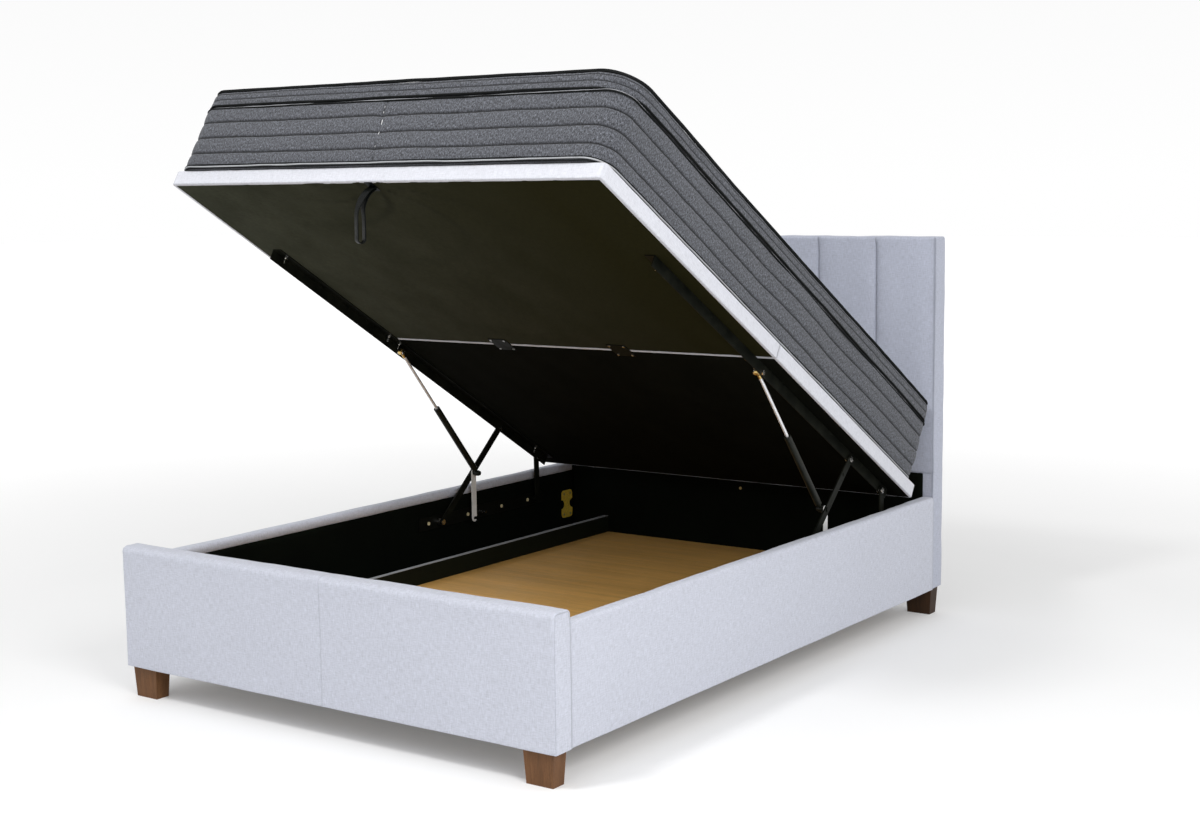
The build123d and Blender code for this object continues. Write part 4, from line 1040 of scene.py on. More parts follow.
class BED_OT_headboard(bpy.types.Operator):
    """Covers the headboard with seven sewn channels above a plain band, and closes its back"""

    bl_idname = "bed.headboard"
    bl_label = "Headboard cover"

    def execute(self, context):
        given = settings("bed_upholstery")
        low, high = limits("headboard_upholstery")
        back_low, back_high = limits("headboard_back_cloth")
        step, corner, top, plain = given.grid, given.corner_radius, 0.012, given.plain_height
        soft_top, closing_reach, front_reach = 0.04, 0.05, 0.035
        groove, slope, band_width, channel_width = 0.0042, 0.013, 0.0018, 0.0021
        width = (high[0] - low[0]) / given.channel_count
        seams = [low[0] + width * k for k in range(1, given.channel_count)]
        edge = (corner, corner / 2, EDGE_ROW)
        ends = [high[0] - e for e in edge] + [low[0] + e for e in edge] + [back_low[0], back_high[0]]
        xs = stations(low[0], high[0], step, beside(seams, 0.0012, 0.0028, 0.0055, 0.010) + ends)
        ys = cover_depths(low, high, step, edge, top)
        ends = [high[2] - e for e in (EDGE_ROW, 0.0025, 0.005, 0.008, 0.012)]
        ends += [back_low[2], back_high[2], low[2] + LOWER_EDGE]
        zs = stations(low[2], high[2], step, beside([plain], 0.0014, 0.004) + ends)

        def wanted(axis, is_high, middle):
            behind_cloth = all(back_low[a] < middle[a] < back_high[a] for a in (0, 2))
            return not (axis == 1 and is_high and behind_cloth)

        flat, faces, sides = box_skin(xs, ys, zs, wanted)
        cloth = wrapped_cloth(flat, faces, sides, low, high, 0)
        near_top = smooth_step(flat[:, 2], high[2] - soft_top, high[2] - top)
        low_radii = columns(len(flat), corner, corner + 0.004 * near_top, LOWER_EDGE)
        high_radii = columns(len(flat), corner, corner + (top - corner) * near_top, 0.009)
        points = rounded(flat, low, high, low_radii, high_radii)
        distance = np.abs(flat[:, :1] - np.array(seams)[None, :]).min(1)
        at_front = np.isclose(flat[:, 1], low[1])
        above = smooth_step(flat[:, 2], plain - 0.002, plain + 0.002)
        rim = at_front & (np.isclose(np.abs(flat[:, 0]), high[0]) | np.isclose(flat[:, 2], high[2]))
        to_side, to_top = high[0] - np.abs(flat[:, 0]), high[2] - flat[:, 2]
        full = np.minimum(distance, to_side + 0.004)
        hollow = given.channel_depth * (0.45 * np.exp(-full / groove) + 0.55 * np.exp(-full / slope))
        hollow = np.where(distance < to_side, hollow, hollow * 0.25)
        closing = 0.25 + 0.75 * smooth_step(to_top, 0.0, closing_reach)
        near_front = smooth_step(flat[:, 1], low[1] + front_reach, low[1])
        band_seam = crease(flat[:, 2] - plain, band_width) * at_front
        tuck = 0.0011 * at_front * above * np.exp(-distance / 0.03) * ripple(flat * (1, 1, 1.6), 0.028, 33)
        seam_end = np.exp(-to_top / 0.03) * np.exp(-distance / 0.02)
        gather = 0.0010 * at_front * seam_end * ripple(flat, 0.02, 34)
        loose = uneven(flat, (0.0009, 0.21, 31), (0.0007, 0.09, 32))
        lining_top = limits("headboard_lining")[1][2]
        covered = at_front * smooth_step(flat[:, 2], lining_top + 0.012, lining_top + 0.002)
        moved = loose * (1 - covered) + tuck + gather
        moved -= 0.0012 * rim + 0.003 * band_seam + 0.0008 * covered
        points = points + outward(points, faces) * moved[:, None]
        points[:, 1] += hollow * above * near_front * closing
        # Painted shade for the seam attribute: a dark line on each channel seam, a soft dark band beside
        # it, the band seam, the rim, and a dark line down the front's upright corners.
        channel_seam = crease(distance, channel_width) * above * at_front
        shade = 0.26 * np.exp(-distance / 0.008) * above * at_front
        corner_seam = 0.95 * crease(to_side + flat[:, 1] - low[1], 0.0055)
        seam = np.maximum.reduce([channel_seam * 0.9, shade, band_seam * 0.6, rim * 0.5, corner_seam])
        # Painted shade: the headboard's cloth is a darker, bluer copy of the upholstery colour.
        shaded = scaled(given.colour, (0.83, 0.845, 0.885))
        material = upholstery_material("headboard cloth", shaded, given.contrast)
        cover(
            "headboard_cover", points, faces, cloth, seam,
            (0, -COVER_HEM, 0), material, "headboard_upholstery",
        )
        self.back(back_low, back_high)
        return {"FINISHED"}

    def back(self, low, high):
        """Black cloth tacked over the open back, drawn in a little between the uprights."""
        tacked = 0.008
        xs, zs = (
            stations(low[a], high[a], LINING_GRID, beside([low[a] + tacked, high[a] - tacked], 0.002))
            for a in (0, 2)
        )
        points = np.array([(x, high[1] - 0.0004, z) for z in zs for x in xs])
        flat = points[:, [0, 2]]
        rim = to_rim(flat, low[[0, 2]], high[[0, 2]])
        for depth, reach, size, seed in ((0.0012, 0.12, 0.35, 41), (0.0004, 0.03, 0.05, 42)):
            points[:, 1] -= depth * smooth_step(rim, 0.012, reach) * (1 + ripple(flat, size, seed)) / 2
        faces = grid_faces(len(xs), len(zs), flip=True)
        piece = thin_cloth("headboard_back_lining", points, faces, (0, 2), LINING_THICKNESS)
        set_up(piece, "base", lining_material(), "black_lining", "headboard_back_cloth")


class BED_OT_linings(bpy.types.Operator):
    """Lines the inside of the well with black cloth"""

    bl_idname = "bed.linings"
    bl_label = "Well lining"

    def execute(self, context):
        for order, (node, core, axis, way) in enumerate(
            (
                ("footboard_lining", "footboard_frame", 1, 1),
                ("headboard_lining", "headboard_frame", 1, -1),
                ("side_rail_lining_left", "side_rail_frame_left", 0, 1),
                ("side_rail_lining_right", "side_rail_frame_right", 0, -1),
            )
        ):
            low, high = limits(node)
            along = 1 - axis
            if node == "headboard_lining":
                reach = limits("side_rail_lining_right")[1][0] - 0.0032
                low[0], high[0] = -reach, reach
            runs, rises = (stations(low[a], high[a], LINING_GRID) for a in (along, 2))
            flat = np.array([(run, rise) for rise in rises for run in runs])
            slack = smooth_step(to_rim(flat, low[[along, 2]], high[[along, 2]]), 0.0, 0.05)
            slack = 0.0006 * slack * ripple(flat * (0.7, 1), 0.16, 50 + order)
            points = np.zeros((len(flat), 3))
            points[:, [along, 2]] = flat
            points[:, axis] = (high[axis] if way > 0 else low[axis]) - way * 0.0006 + way * slack
            faces = grid_faces(len(runs), len(rises), flip=(way > 0) == (axis == 1))
            name = node.replace("_lining", "_lining_cloth")
            piece = thin_cloth(name, points, faces, (along, 2), LINING_THICKNESS)
            set_up(piece, "base", lining_material(), "black_lining", node)
        return {"FINISHED"}


# Platform

class BED_OT_platform(bpy.types.Operator):
    """Covers the edges of both platform halves and stretches the dust covers under them"""

    bl_idname = "bed.platform"
    bl_label = "Platform cloths"

    def execute(self, context):
        given, dust = settings("bed_upholstery"), settings("bed_lining")
        border = upholstery_material("platform edge cloth", given.border_colour, given.contrast * 0.8)
        # Painted shade: the head cover is a copy of the dust cover's colours darkened by the shadow factor,
        # and the foot cover darkens towards the right side.
        plain, rubbed, shadow = dust.dust, dust.dust_light, 0.12
        shaded = scaled(plain, shadow), scaled(rubbed, shadow)
        covers = {
            "foot": dark_cloth_material("dust cover cloth", plain, rubbed, 0.0034, shaded_side=dust.dust_shaded_side),
            "head": dark_cloth_material("dust cover cloth, head end", *shaded, 0.0017, 0.02),
        }
        for name in ("head", "foot"):
            self.edge_cloth(name, name == "foot", border)
            self.dust_cover(name, name == "foot", covers[name], dust.sag)
        return {"FINISHED"}

    def edge_cloth(self, name, at_foot, border):
        """Cloth over the edge of one half, from under its lip to a little way over the deck."""
        low, high = platform_limits(f"platform_border_{name}")
        round_corner, sharp, hem, grid = 0.014, 0.005, 0.0035, 0.014
        radii = [sharp, round_corner, round_corner, sharp]
        radii = radii if at_foot else radii[2:] + radii[:2]
        counts = (round((high[1] - low[1]) / grid), round((high[0] - low[0]) / grid))
        top, under = high[2], -0.0008

        def loop(inset):
            to_head = min(inset, 0.0046 if at_foot else 0.0034)
            to_foot = inset if at_foot else min(inset, 0.0046)
            corners = (low[0] + inset, low[1] + to_head), (high[0] - inset, high[1] - to_foot)
            return rounded_loop(*corners, [max(r - inset, 0.0004) for r in radii], counts)

        profile = [(0.0115, 0.0004), (0.0113, under), (0.0075, under)]
        profile += [(hem * (1 - math.sin(t)), under + hem * (1 - math.cos(t))) for t in TURNS_OF_HEM]
        profile += [(0.0, level) for level in np.linspace(0.007, top - 0.007, 4)]
        profile += [(hem * (1 - math.cos(t)), top - hem * (1 - math.sin(t))) for t in TURNS_OF_HEM]
        profile += [(0.02, top + 0.0004), (0.05, top + 0.0006)]

        def relief(outline, level):
            spots, seed = at_level(outline, level), 60 + at_foot
            on_side = smooth_step(level, 0.004, 0.010) * smooth_step(top - level, 0.002, 0.010)
            out = 0.0009 * on_side * ripple(spots, 0.12, seed) - 0.0002
            out += 0.0005 * (level < 0.0) * ripple(outline, 0.11, seed + 6)
            return out, 0.0004 * (1 - on_side) * (level > top / 2) * ripple(spots, 0.06, seed + 3)

        points, faces, cloth, _ = band(loop, profile, [0.0] * len(profile), relief)
        x, s, level = points.T
        drawn = round_corner * 0.3
        end = high[1] - drawn if at_foot else low[1] + drawn
        corner_seam = crease(np.hypot(np.abs(x) - high[0] + drawn, s - end), 0.0035)
        joint_seam = crease(s - (low[1] if at_foot else high[1]), 0.0028) * (level > 0.0) * (level < top)
        # Painted shade at the corner seams and, darker, along the joint between the halves.
        seam = corner_seam * 0.35 + joint_seam * 0.95
        piece = make_piece(f"platform_edge_cloth_{name}", from_platform(points), faces, cloth, seam)
        set_up(face_out(piece), "platform", border, "upholstery_fabric", f"platform_border_{name}")

    def dust_cover(self, name, at_foot, material, sag):
        """Thin black cloth, held at its rim and by the slats, with pulls round the strap's anchor."""
        low, high = platform_limits(f"dust_cover_{name}")
        reach, grid = 0.0052, 0.012
        joint = low[1] - reach if at_foot else high[1] + reach
        start, end = (joint, high[1] - 0.0004) if at_foot else (low[1] + 0.0004, joint)
        xs = stations(low[0] + 0.0008, high[0] - 0.0008, grid)
        ss = stations(start, end, grid, [joint + k * grid / 2 for k in (1, 2, -1, -2)])
        points = np.array([(x, s, 0.0) for s in ss for x in xs])
        cut = 0.0014 * ripple(points[:, :1], 0.10, 78 + at_foot) * (points[:, 1] == joint)
        points[:, 1] += cut * smooth_step(high[0] - np.abs(points[:, 0]), 0.0, 0.03)
        x, s, _ = points.T
        spots = points[:, :2]
        rim = to_rim(spots, low, high)
        slack = sag * smooth_step(rim, 0.0, 0.10) * (0.35 + 0.30 * ripple(spots, 0.55, 71 + at_foot))
        folds = 0.0011 * smooth_step(rim, 0.0, 0.05) * ripple(spots * (1.0, 0.35), 0.16, 73 + at_foot)
        near_rim = smooth_step(rim, 0.0, 0.012)
        edge_pulls = 0.0005 * near_rim * np.exp(-rim / 0.05) * ripple(spots, 0.045, 75 + at_foot)
        # The foot cover's seam attribute holds painted shade along the folds round the strap's anchor.
        seam = None
        if at_foot:
            slack, folds, seam = self.star(x, s, rim, slack, folds)
        hang = slack + folds + edge_pulls + 0.0008 * smooth_step(rim, 0, 0.02)
        level = UNDER_FRAME - np.maximum(0.0, hang)
        plate_low, plate_high = platform_limits("mending_plates")
        plate_width = 0.068
        for places, part_low, part_high in (
            (x, *platform_limits("top_rail_left")),
            (x, *platform_limits("top_rail_right")),
            (np.abs(x), (plate_high[0] - plate_width, plate_low[1]), plate_high),
        ):
            near = smooth_step(beyond(places, s, part_low, part_high), 0.0, 0.03)
            level = UNDER_FRAME + (level - UNDER_FRAME) * near
        over_rail = smooth_step(high[0] - np.abs(x), 0.060, 0.042)
        points[:, 2] = np.maximum(level, -0.0006 - 0.02 * (1 - over_rail))
        if at_foot:
            self.round_off(points, high)
        faces = grid_faces(len(xs), len(ss))
        piece = thin_cloth(
            f"dust_cover_cloth_{name}", points, faces, (0, 1), DUST_THICKNESS, seam, from_platform
        )
        set_up(piece, "platform", material, "dust_cloth", f"dust_cover_{name}")

    def star(self, x, s, rim, slack, folds):
        """Slack and folds with the cloth's pulls round the strap's anchor, and the painted shade along
        their ridges.
        """
        anchor = sum(platform_limits("strap_anchor")) / 2
        away = np.hypot(x - anchor[0], s - anchor[1])
        angle = np.arctan2(s - anchor[1], x - anchor[0])
        held = smooth_step(away, 0.03, 0.09)
        ridge = 1 - np.abs(np.sin(4.5 * angle + 1.5 * np.sin(angle * 2) + 2.0 * away / 0.2))
        pulls = 0.0042 * np.exp(-away / 0.20) * ridge * smooth_step(rim, 0.0, 0.02)
        shade = smooth_step(ridge, 0.6, 0.98) * np.exp(-away / 0.16) * smooth_step(away, 0.02, 0.05)
        return slack * held, folds * held + pulls * smooth_step(away, 0.015, 0.04), shade

    def round_off(self, points, high):
        """Moves the points of a cover's foot corners onto a rounded corner."""
        radius = 0.016
        x, s, _ = points.T.copy()
        from_corner = np.stack([np.abs(x) - high[0] + radius, s - high[1] + radius], 1)
        inside = (from_corner > 0).all(1)
        away = np.hypot(*from_corner.T)
        keep = np.where(inside, np.minimum(1.0, radius / np.maximum(away, 1e-9)), 1.0)
        moved = from_corner * keep[:, None]
        points[inside, 0] = (np.sign(x) * (moved[:, 0] + high[0] - radius))[inside]
        points[inside, 1] = (moved[:, 1] + high[1] - radius)[inside]


# Mattress

BORDER_CORNERS = (0.36, 0.60, 0.60, 0.36)    # shares of the corner radius, from the head's right side
PILLOW_CORNERS = (0.42, 1.0, 0.66, 0.42)
PIPING_ANGLE = 52                            # where the piping sits on the pillow layer's upper edge
SWELL_CAP = 0.0068                           # most that the quilted top may swell


class BED_OT_mattress(bpy.types.Operator):
    """Makes the quilted border, the pillow layer, and the piping and tape between them"""

    bl_idname = "bed.mattress"
    bl_label = "Mattress"

    def execute(self, context):
        given = self.given = settings("bed_mattress")
        self.low, self.high = platform_limits("mattress_border")
        self.pillow_top = platform_limits("mattress_pillow_top")[1][2]
        self.valley = self.high[2] - given.valley_drop
        self.edge_top = self.pillow_top - 0.006 + given.rise
        self.counts = [round((self.high[a] - self.low[a]) / 0.009) for a in (1, 0)]
        knit = knit_material("mattress knit", given.dark, given.light)
        black, tape, white = (
            dark_cloth_material(name, *values)
            for name, *values in (
                ("black piping cloth", (0.009, 0.010, 0.010), (0.016, 0.017, 0.017), 0.0007),
                ("grey tape", (0.36, 0.37, 0.39), (0.46, 0.47, 0.49), 0.0007),
                ("white thread", (0.72, 0.72, 0.74), (0.8, 0.8, 0.8), 0.0004),
            )
        )
        border = self.border(knit)
        pillow = self.pillow(knit)
        self.trim(black, tape)
        self.stitches(white)
        return {"FINISHED"}

    def loop(self, inset, corners):
        """Outline of the mattress in the platform's frame, drawn in by an inset."""
        radii = [max(self.given.corner_radius * share - inset, 0.004) for share in corners]
        return rounded_loop(self.low[:2] + inset, self.high[:2] - inset, radii, self.counts, 22)

    def join_line(self, level):
        """Where the upright join runs, at a level above the platform's underside."""
        share = (level - self.low[2]) / (self.pillow_top - self.low[2])
        return 0.004 - 0.036 * share + 0.002 * math.sin(share * 17.0)

    def join_seam(self, points, seam, reach):
        """The rows' painted seam shade, with painted shade along the upright join on the foot side."""
        joins = np.array([self.join_line(level) for level in points[:, 2]])
        at_foot = points[:, 1] > self.high[1] - reach
        return np.maximum(seam, 0.8 * crease(points[:, 0] - joins, 0.0026) * at_foot)

    def settling(self, outline):
        """How much a place on the outline swells because the raised mattress settles to the headboard."""
        return self.given.lean * smooth_step(outline[:, 1], self.high[1] * 0.75, self.low[1] + 0.1)

    def border(self, knit):
        """Quilted border, from under the mattress to the valley."""
        given = self.given
        bottom, top = self.low[2], self.valley - 0.0062
        pitch = (self.valley - bottom) / (given.border_seams + 1)
        seams = [bottom + pitch * k for k in range(1, given.border_seams + 1)]
        first = bottom + 0.0125
        profile = [(0.06, bottom + 0.0004), (0.02, bottom + 0.0004), (0.0075, bottom + 0.0010)]
        profile += [(0.0035, bottom + 0.0042), (0.0015, bottom + 0.0085), (0.0012, first)]
        # Painted shade: the marks darken the rows under the mattress's lower edge, the quilting lines and
        # the valley.
        marks = [0.6, 0.6, 0.6, 0.6, 0.7, 0.8]
        edges = [first, *seams, top + 0.003]
        for level in stations(bottom + 0.014, top, 0.009, beside(seams, 0.0009, 0.0022, 0.0045, 0.008)):
            nearest = min(abs(level - s) for s in seams)
            below = max(e for e in edges if e <= level + 1e-9)
            above = min(e for e in edges if e > level - 1e-9)
            share = 0.5 if above - below < 1e-6 else (level - below) / (above - below)
            bulge = 0.0030 * (1 - abs(2 * share - 1) ** 2.4)
            profile.append((0.0012 + given.seam_depth * dip_at(nearest, 0.0026) - bulge, level))
            marks.append(dip_at(nearest, 0.0027))
        profile += [(0.003, top + 0.0022), (0.007, top + 0.0040)]
        profile += [(given.valley_depth, top + 0.0056), (0.05, top + 0.0058)]
        marks += [0.5, 0.9, 1.0, 1.0]

        def relief(outline, level):
            spots = at_level(outline, level)
            nearest = min(abs(level - s) for s in seams)
            at_foot = outline[:, 1] > self.high[1] - 0.02
            from_join = outline[:, 0] - self.join_line(level)
            out = uneven(spots, (0.0022, 0.42, 81), (0.0010, 0.13, 82))
            out += 0.0009 * math.exp(-nearest / 0.008) * ripple(spots * (1, 1, 0.4), 0.026, 83)
            out -= 0.0012
            out -= 0.0035 * (crease(from_join, 0.004) * at_foot)
            out += self.settling(outline) * smooth_step(level, bottom, bottom + 0.08)
            up = -0.0030 * (crease(from_join, 0.03) * at_foot) * (bottom + 0.01 < level < top)
            up = up + 0.0012 * ripple(spots, 0.3, 84) * (level > bottom + 0.012)
            keep = smooth_step(level, bottom, bottom + 0.012)
            return out * keep, up * keep

        def loop(inset):
            return self.loop(inset, BORDER_CORNERS)

        points, faces, cloth, seam = band(loop, profile, marks, relief)
        seam = self.join_seam(points, seam, 0.02)
        piece = face_out(make_piece("mattress_border_quilted", from_platform(points), faces, cloth, seam))
        return set_up(piece, "platform", knit, "mattress_fabric", "mattress_border")

    def pillow(self, knit):
        """Pillow layer, from the valley over its rounded edge to the quilted top."""
        given = self.given
        bottom, top, radius = self.valley, self.edge_top, given.edge_radius
        side_high = top - radius
        pitch = (top - bottom) / (given.pillow_seams + 1)
        seams = [bottom + 0.006 + (pitch * 0.94) * k for k in range(1, given.pillow_seams + 1)]

        def inset_at(level):
            rise = level - side_high
            return 0.0 if rise <= 0 else radius - math.sqrt(max(radius**2 - rise**2, 0.0))

        profile = [(0.05, bottom + 0.0004), (given.valley_depth, bottom + 0.0008)]
        profile += [(0.006, bottom + 0.0022), (0.002, bottom + 0.0045)]
        # Painted shade: the marks darken the valley, the quilting lines and the line of the top piping.
        marks = [1.0, 1.0, 0.9, 0.5]
        last = side_high + radius * math.sin(math.radians(30))
        for level in stations(bottom + 0.0065, last, 0.006, beside(seams, 0.0007, 0.0018, 0.0036)):
            nearest = min(abs(level - s) for s in seams)
            profile.append((inset_at(level) + 0.0028 * dip_at(nearest, 0.0018) - 0.0006, level))
            marks.append(0.85 * dip_at(nearest, 0.0020))
        for degrees in (36, 44, 49, 52, 55, 62, 70, 78, 86, 90):
            turn = math.radians(degrees)
            dip = 0.002 * dip_at(degrees - PIPING_ANGLE, 4)
            profile.append((radius * (1 - math.cos(turn)) + dip, top - radius * (1 - math.sin(turn)) - dip))
            marks.append(0.9 * dip_at(degrees - PIPING_ANGLE, 6))

        def relief(outline, level):
            spots = at_level(outline, level)
            out = uneven(spots, (0.0016, 0.33, 91), (0.0009, 0.09, 92))
            out += uneven(spots * (1, 1, 0.4), (0.0007, 0.03, 93))
            keep = smooth_step(level, bottom, bottom + 0.010) * smooth_step(top - level, -0.001, 0.012)
            lean = self.settling(outline)
            return out * keep - 0.0006 + lean, lean * smooth_step(level, bottom, side_high)

        def loop(inset):
            return self.loop(inset, PILLOW_CORNERS)

        points, faces, cloth, seam = band(loop, profile, marks, relief)
        seam = self.join_seam(points, seam, 0.03)
        inset, level = profile[-1]
        top_points, top_faces, top_cloth, top_seam = self.quilted_top(loop(inset), level)
        top_points[:, 2] += self.settling(top_points)
        faces += [[i + len(points) for i in f] for f in top_faces]
        points, seam = np.concatenate([points, top_points]), np.concatenate([seam, top_seam])
        cloth, places = cloth + top_cloth, from_platform(points)
        piece = make_piece("mattress_pillow_layer", places, faces, cloth, seam, merge=True)
        return set_up(face_out(piece), "platform", knit, "mattress_fabric", "mattress_pillow_top")

    def quilted_top(self, rim, level):
        """Rings from the rim to the middle, puffed between diamond quilting lines."""
        low, high = rim.min(0), rim.max(0)
        middle, half = (low + high) / 2, (high - low) / 2
        core_half = half - half.min()
        shares = np.concatenate([[1.0], 1 - np.linspace(0.004, 0.994, 92)])
        nearest = np.clip(rim - middle, -core_half, core_half)
        flat = np.concatenate([middle + nearest + (rim - middle - nearest) * share for share in shares])
        gap = self.quilt_gap(flat)
        depth = np.repeat(1 - shares, len(rim)) * half.min()
        free = smooth_step(depth, 0.0, 0.05)
        crown = 0.0030 * smooth_step(depth, 0.0, 0.26)
        puff = between(flat, *self.swelling(low, high)) - 0.0045 - 0.0018 * np.exp(-gap / 0.006)
        rise = level + crown + free * puff + 0.0006 * free * ripple(flat, 0.05, 96)
        faces, _ = ring_rows(range(len(rim) + 1), range(len(shares)))
        faces.append(list(range(len(flat) - len(rim), len(flat))))
        cloth = [tuple(flat[i]) for f in faces for i in f]
        # Painted shade along the diamond quilting lines.
        return at_level(flat, rise), faces, cloth, 0.5 * free * crease(gap, 0.0012)

    def swelling(self, low, high):
        """Swelling of the quilted top on a coarse grid: simulated cloth, sewn down along the diamonds."""
        step, frames = 0.016, 20
        xs, ss = np.arange(low[0], high[0] + step, step), np.arange(low[1], high[1] + step, step)
        flat = np.array([(x, s) for s in ss for x in xs])
        gap = self.quilt_gap(flat)
        mesh = bpy.data.meshes.new("quilting")
        mesh.from_pydata([(x, s, 0.0) for x, s in flat], [], grid_faces(len(xs), len(ss)))
        sheet = bpy.data.objects.new("quilting", mesh)
        bpy.context.scene.collection.objects.link(sheet)
        sewn = sheet.vertex_groups.new(name="sewn")
        for index in np.nonzero((gap < 0.009) | (to_rim(flat, low, high) < 0.02))[0]:
            sewn.add([int(index)], 1.0, "REPLACE")
        cloth = sheet.modifiers.new("quilting", "CLOTH")
        cloth.settings.vertex_group_mass = "sewn"
        cloth.settings.use_pressure = True
        cloth.settings.uniform_pressure_force = 4.0
        cloth.settings.shrink_min = -0.012
        cloth.settings.effector_weights.gravity = 0.0
        cloth.point_cache.frame_start, cloth.point_cache.frame_end = 1, frames
        for frame_number in range(1, frames + 1):
            bpy.context.scene.frame_set(frame_number)
        shaped = sheet.evaluated_get(bpy.context.evaluated_depsgraph_get()).to_mesh()
        rise = np.abs([v.co.z for v in shaped.vertices])
        bpy.data.objects.remove(sheet)
        bpy.data.meshes.remove(mesh)
        bpy.context.scene.frame_set(1)
        if not np.isfinite(rise).all() or rise.max() < 0.0005:
            raise RuntimeError("The quilting did not swell")
        rise = SWELL_CAP * np.tanh(rise * 1.2 / np.percentile(rise, 95))
        return xs, ss, rise.reshape(len(ss), len(xs))

    def quilt_gap(self, flat):
        """Distance to the nearest line of the diamond quilting."""
        size = self.given.quilt
        lines = (flat[:, 0] + flat[:, 1]) / size, (flat[:, 0] - flat[:, 1]) / size
        return size / math.sqrt(2) * np.minimum(*[np.abs(way - np.round(way)) for way in lines])

    def trim(self, black, tape):
        """Piping at the top and bottom edges, and the taped valley."""
        bottom, valley, radius = self.low[2], self.valley, self.given.edge_radius
        turn = math.radians(PIPING_ANGLE)
        top_inset = radius * (1 - math.cos(turn)) - 0.0024
        top_level = self.edge_top - radius + radius * math.sin(turn) + 0.0024
        for name, inset, level, thickness, material, wander in (
            # Painted shadow: the thin black base cord stands for the dark line of shade under the
            # mattress's lower edge.
            ("mattress_base_cord", 0.0030, bottom + 0.0022, 0.0018, black, 0.0006),
            ("mattress_bottom_piping", 0.0006, bottom + 0.0068, 0.0022, tape, 0.0012),
            ("mattress_bottom_welt", 0.0002, bottom + 0.0112, 0.0019, black, 0.0010),
            ("border_top_welt", 0.0004, valley - 0.0068, 0.0026, black, 0.0010),
            ("valley_tape", 0.0034, valley - 0.0030, 0.0014, tape, 0.0012),
            ("pillow_bottom_welt", 0.0010, valley + 0.0042, 0.0030, black, 0.0012),
            ("pillow_top_piping", top_inset, top_level, 0.0048, black, 0.0010),
        ):
            loop = self.loop(inset, PILLOW_CORNERS if name.startswith("pillow") else BORDER_CORNERS)
            seed = 100 + len(name)
            drift = ripple(loop, 0.37, seed) * wander + ripple(loop, 0.09, seed + 10) * wander * 0.4
            lean = self.settling(loop) * smooth_step(level, bottom, bottom + 0.08)
            rise = lean if name == "pillow_top_piping" else 0.0
            path = at_level(loop + sideways(loop) * lean[:, None], level + drift + rise)
            piece = tube(name, from_platform(path), thickness, (0.0, TILT_SIN, TILT_COS))
            set_up(piece, "platform", material, "mattress_fabric")

    def stitches(self, white):
        """Pale stitches that show where the border's join gapes."""
        foot = self.high[1]
        for order, (start, length, thick) in enumerate(
            (
                (0.168, 0.016, 0.0011), (0.135, 0.011, 0.0009), (0.114, 0.005, 0.0006),
                (0.098, 0.005, 0.0006), (0.205, 0.006, 0.0006), (0.222, 0.006, 0.0006),
            )
        ):
            levels = np.linspace(start, start + length, 6)
            arch = [foot - 0.0012 + 0.0006 * math.sin((v - start) / length * math.pi) for v in levels]
            path = from_platform([(self.join_line(v), s, v) for v, s in zip(levels, arch)])
            piece = tube(f"join_stitch_{order + 1}", path, thick, (1, 0, 0), closed=False, sides=6)
            set_up(piece, "platform", white, "mattress_fabric")


# Strap

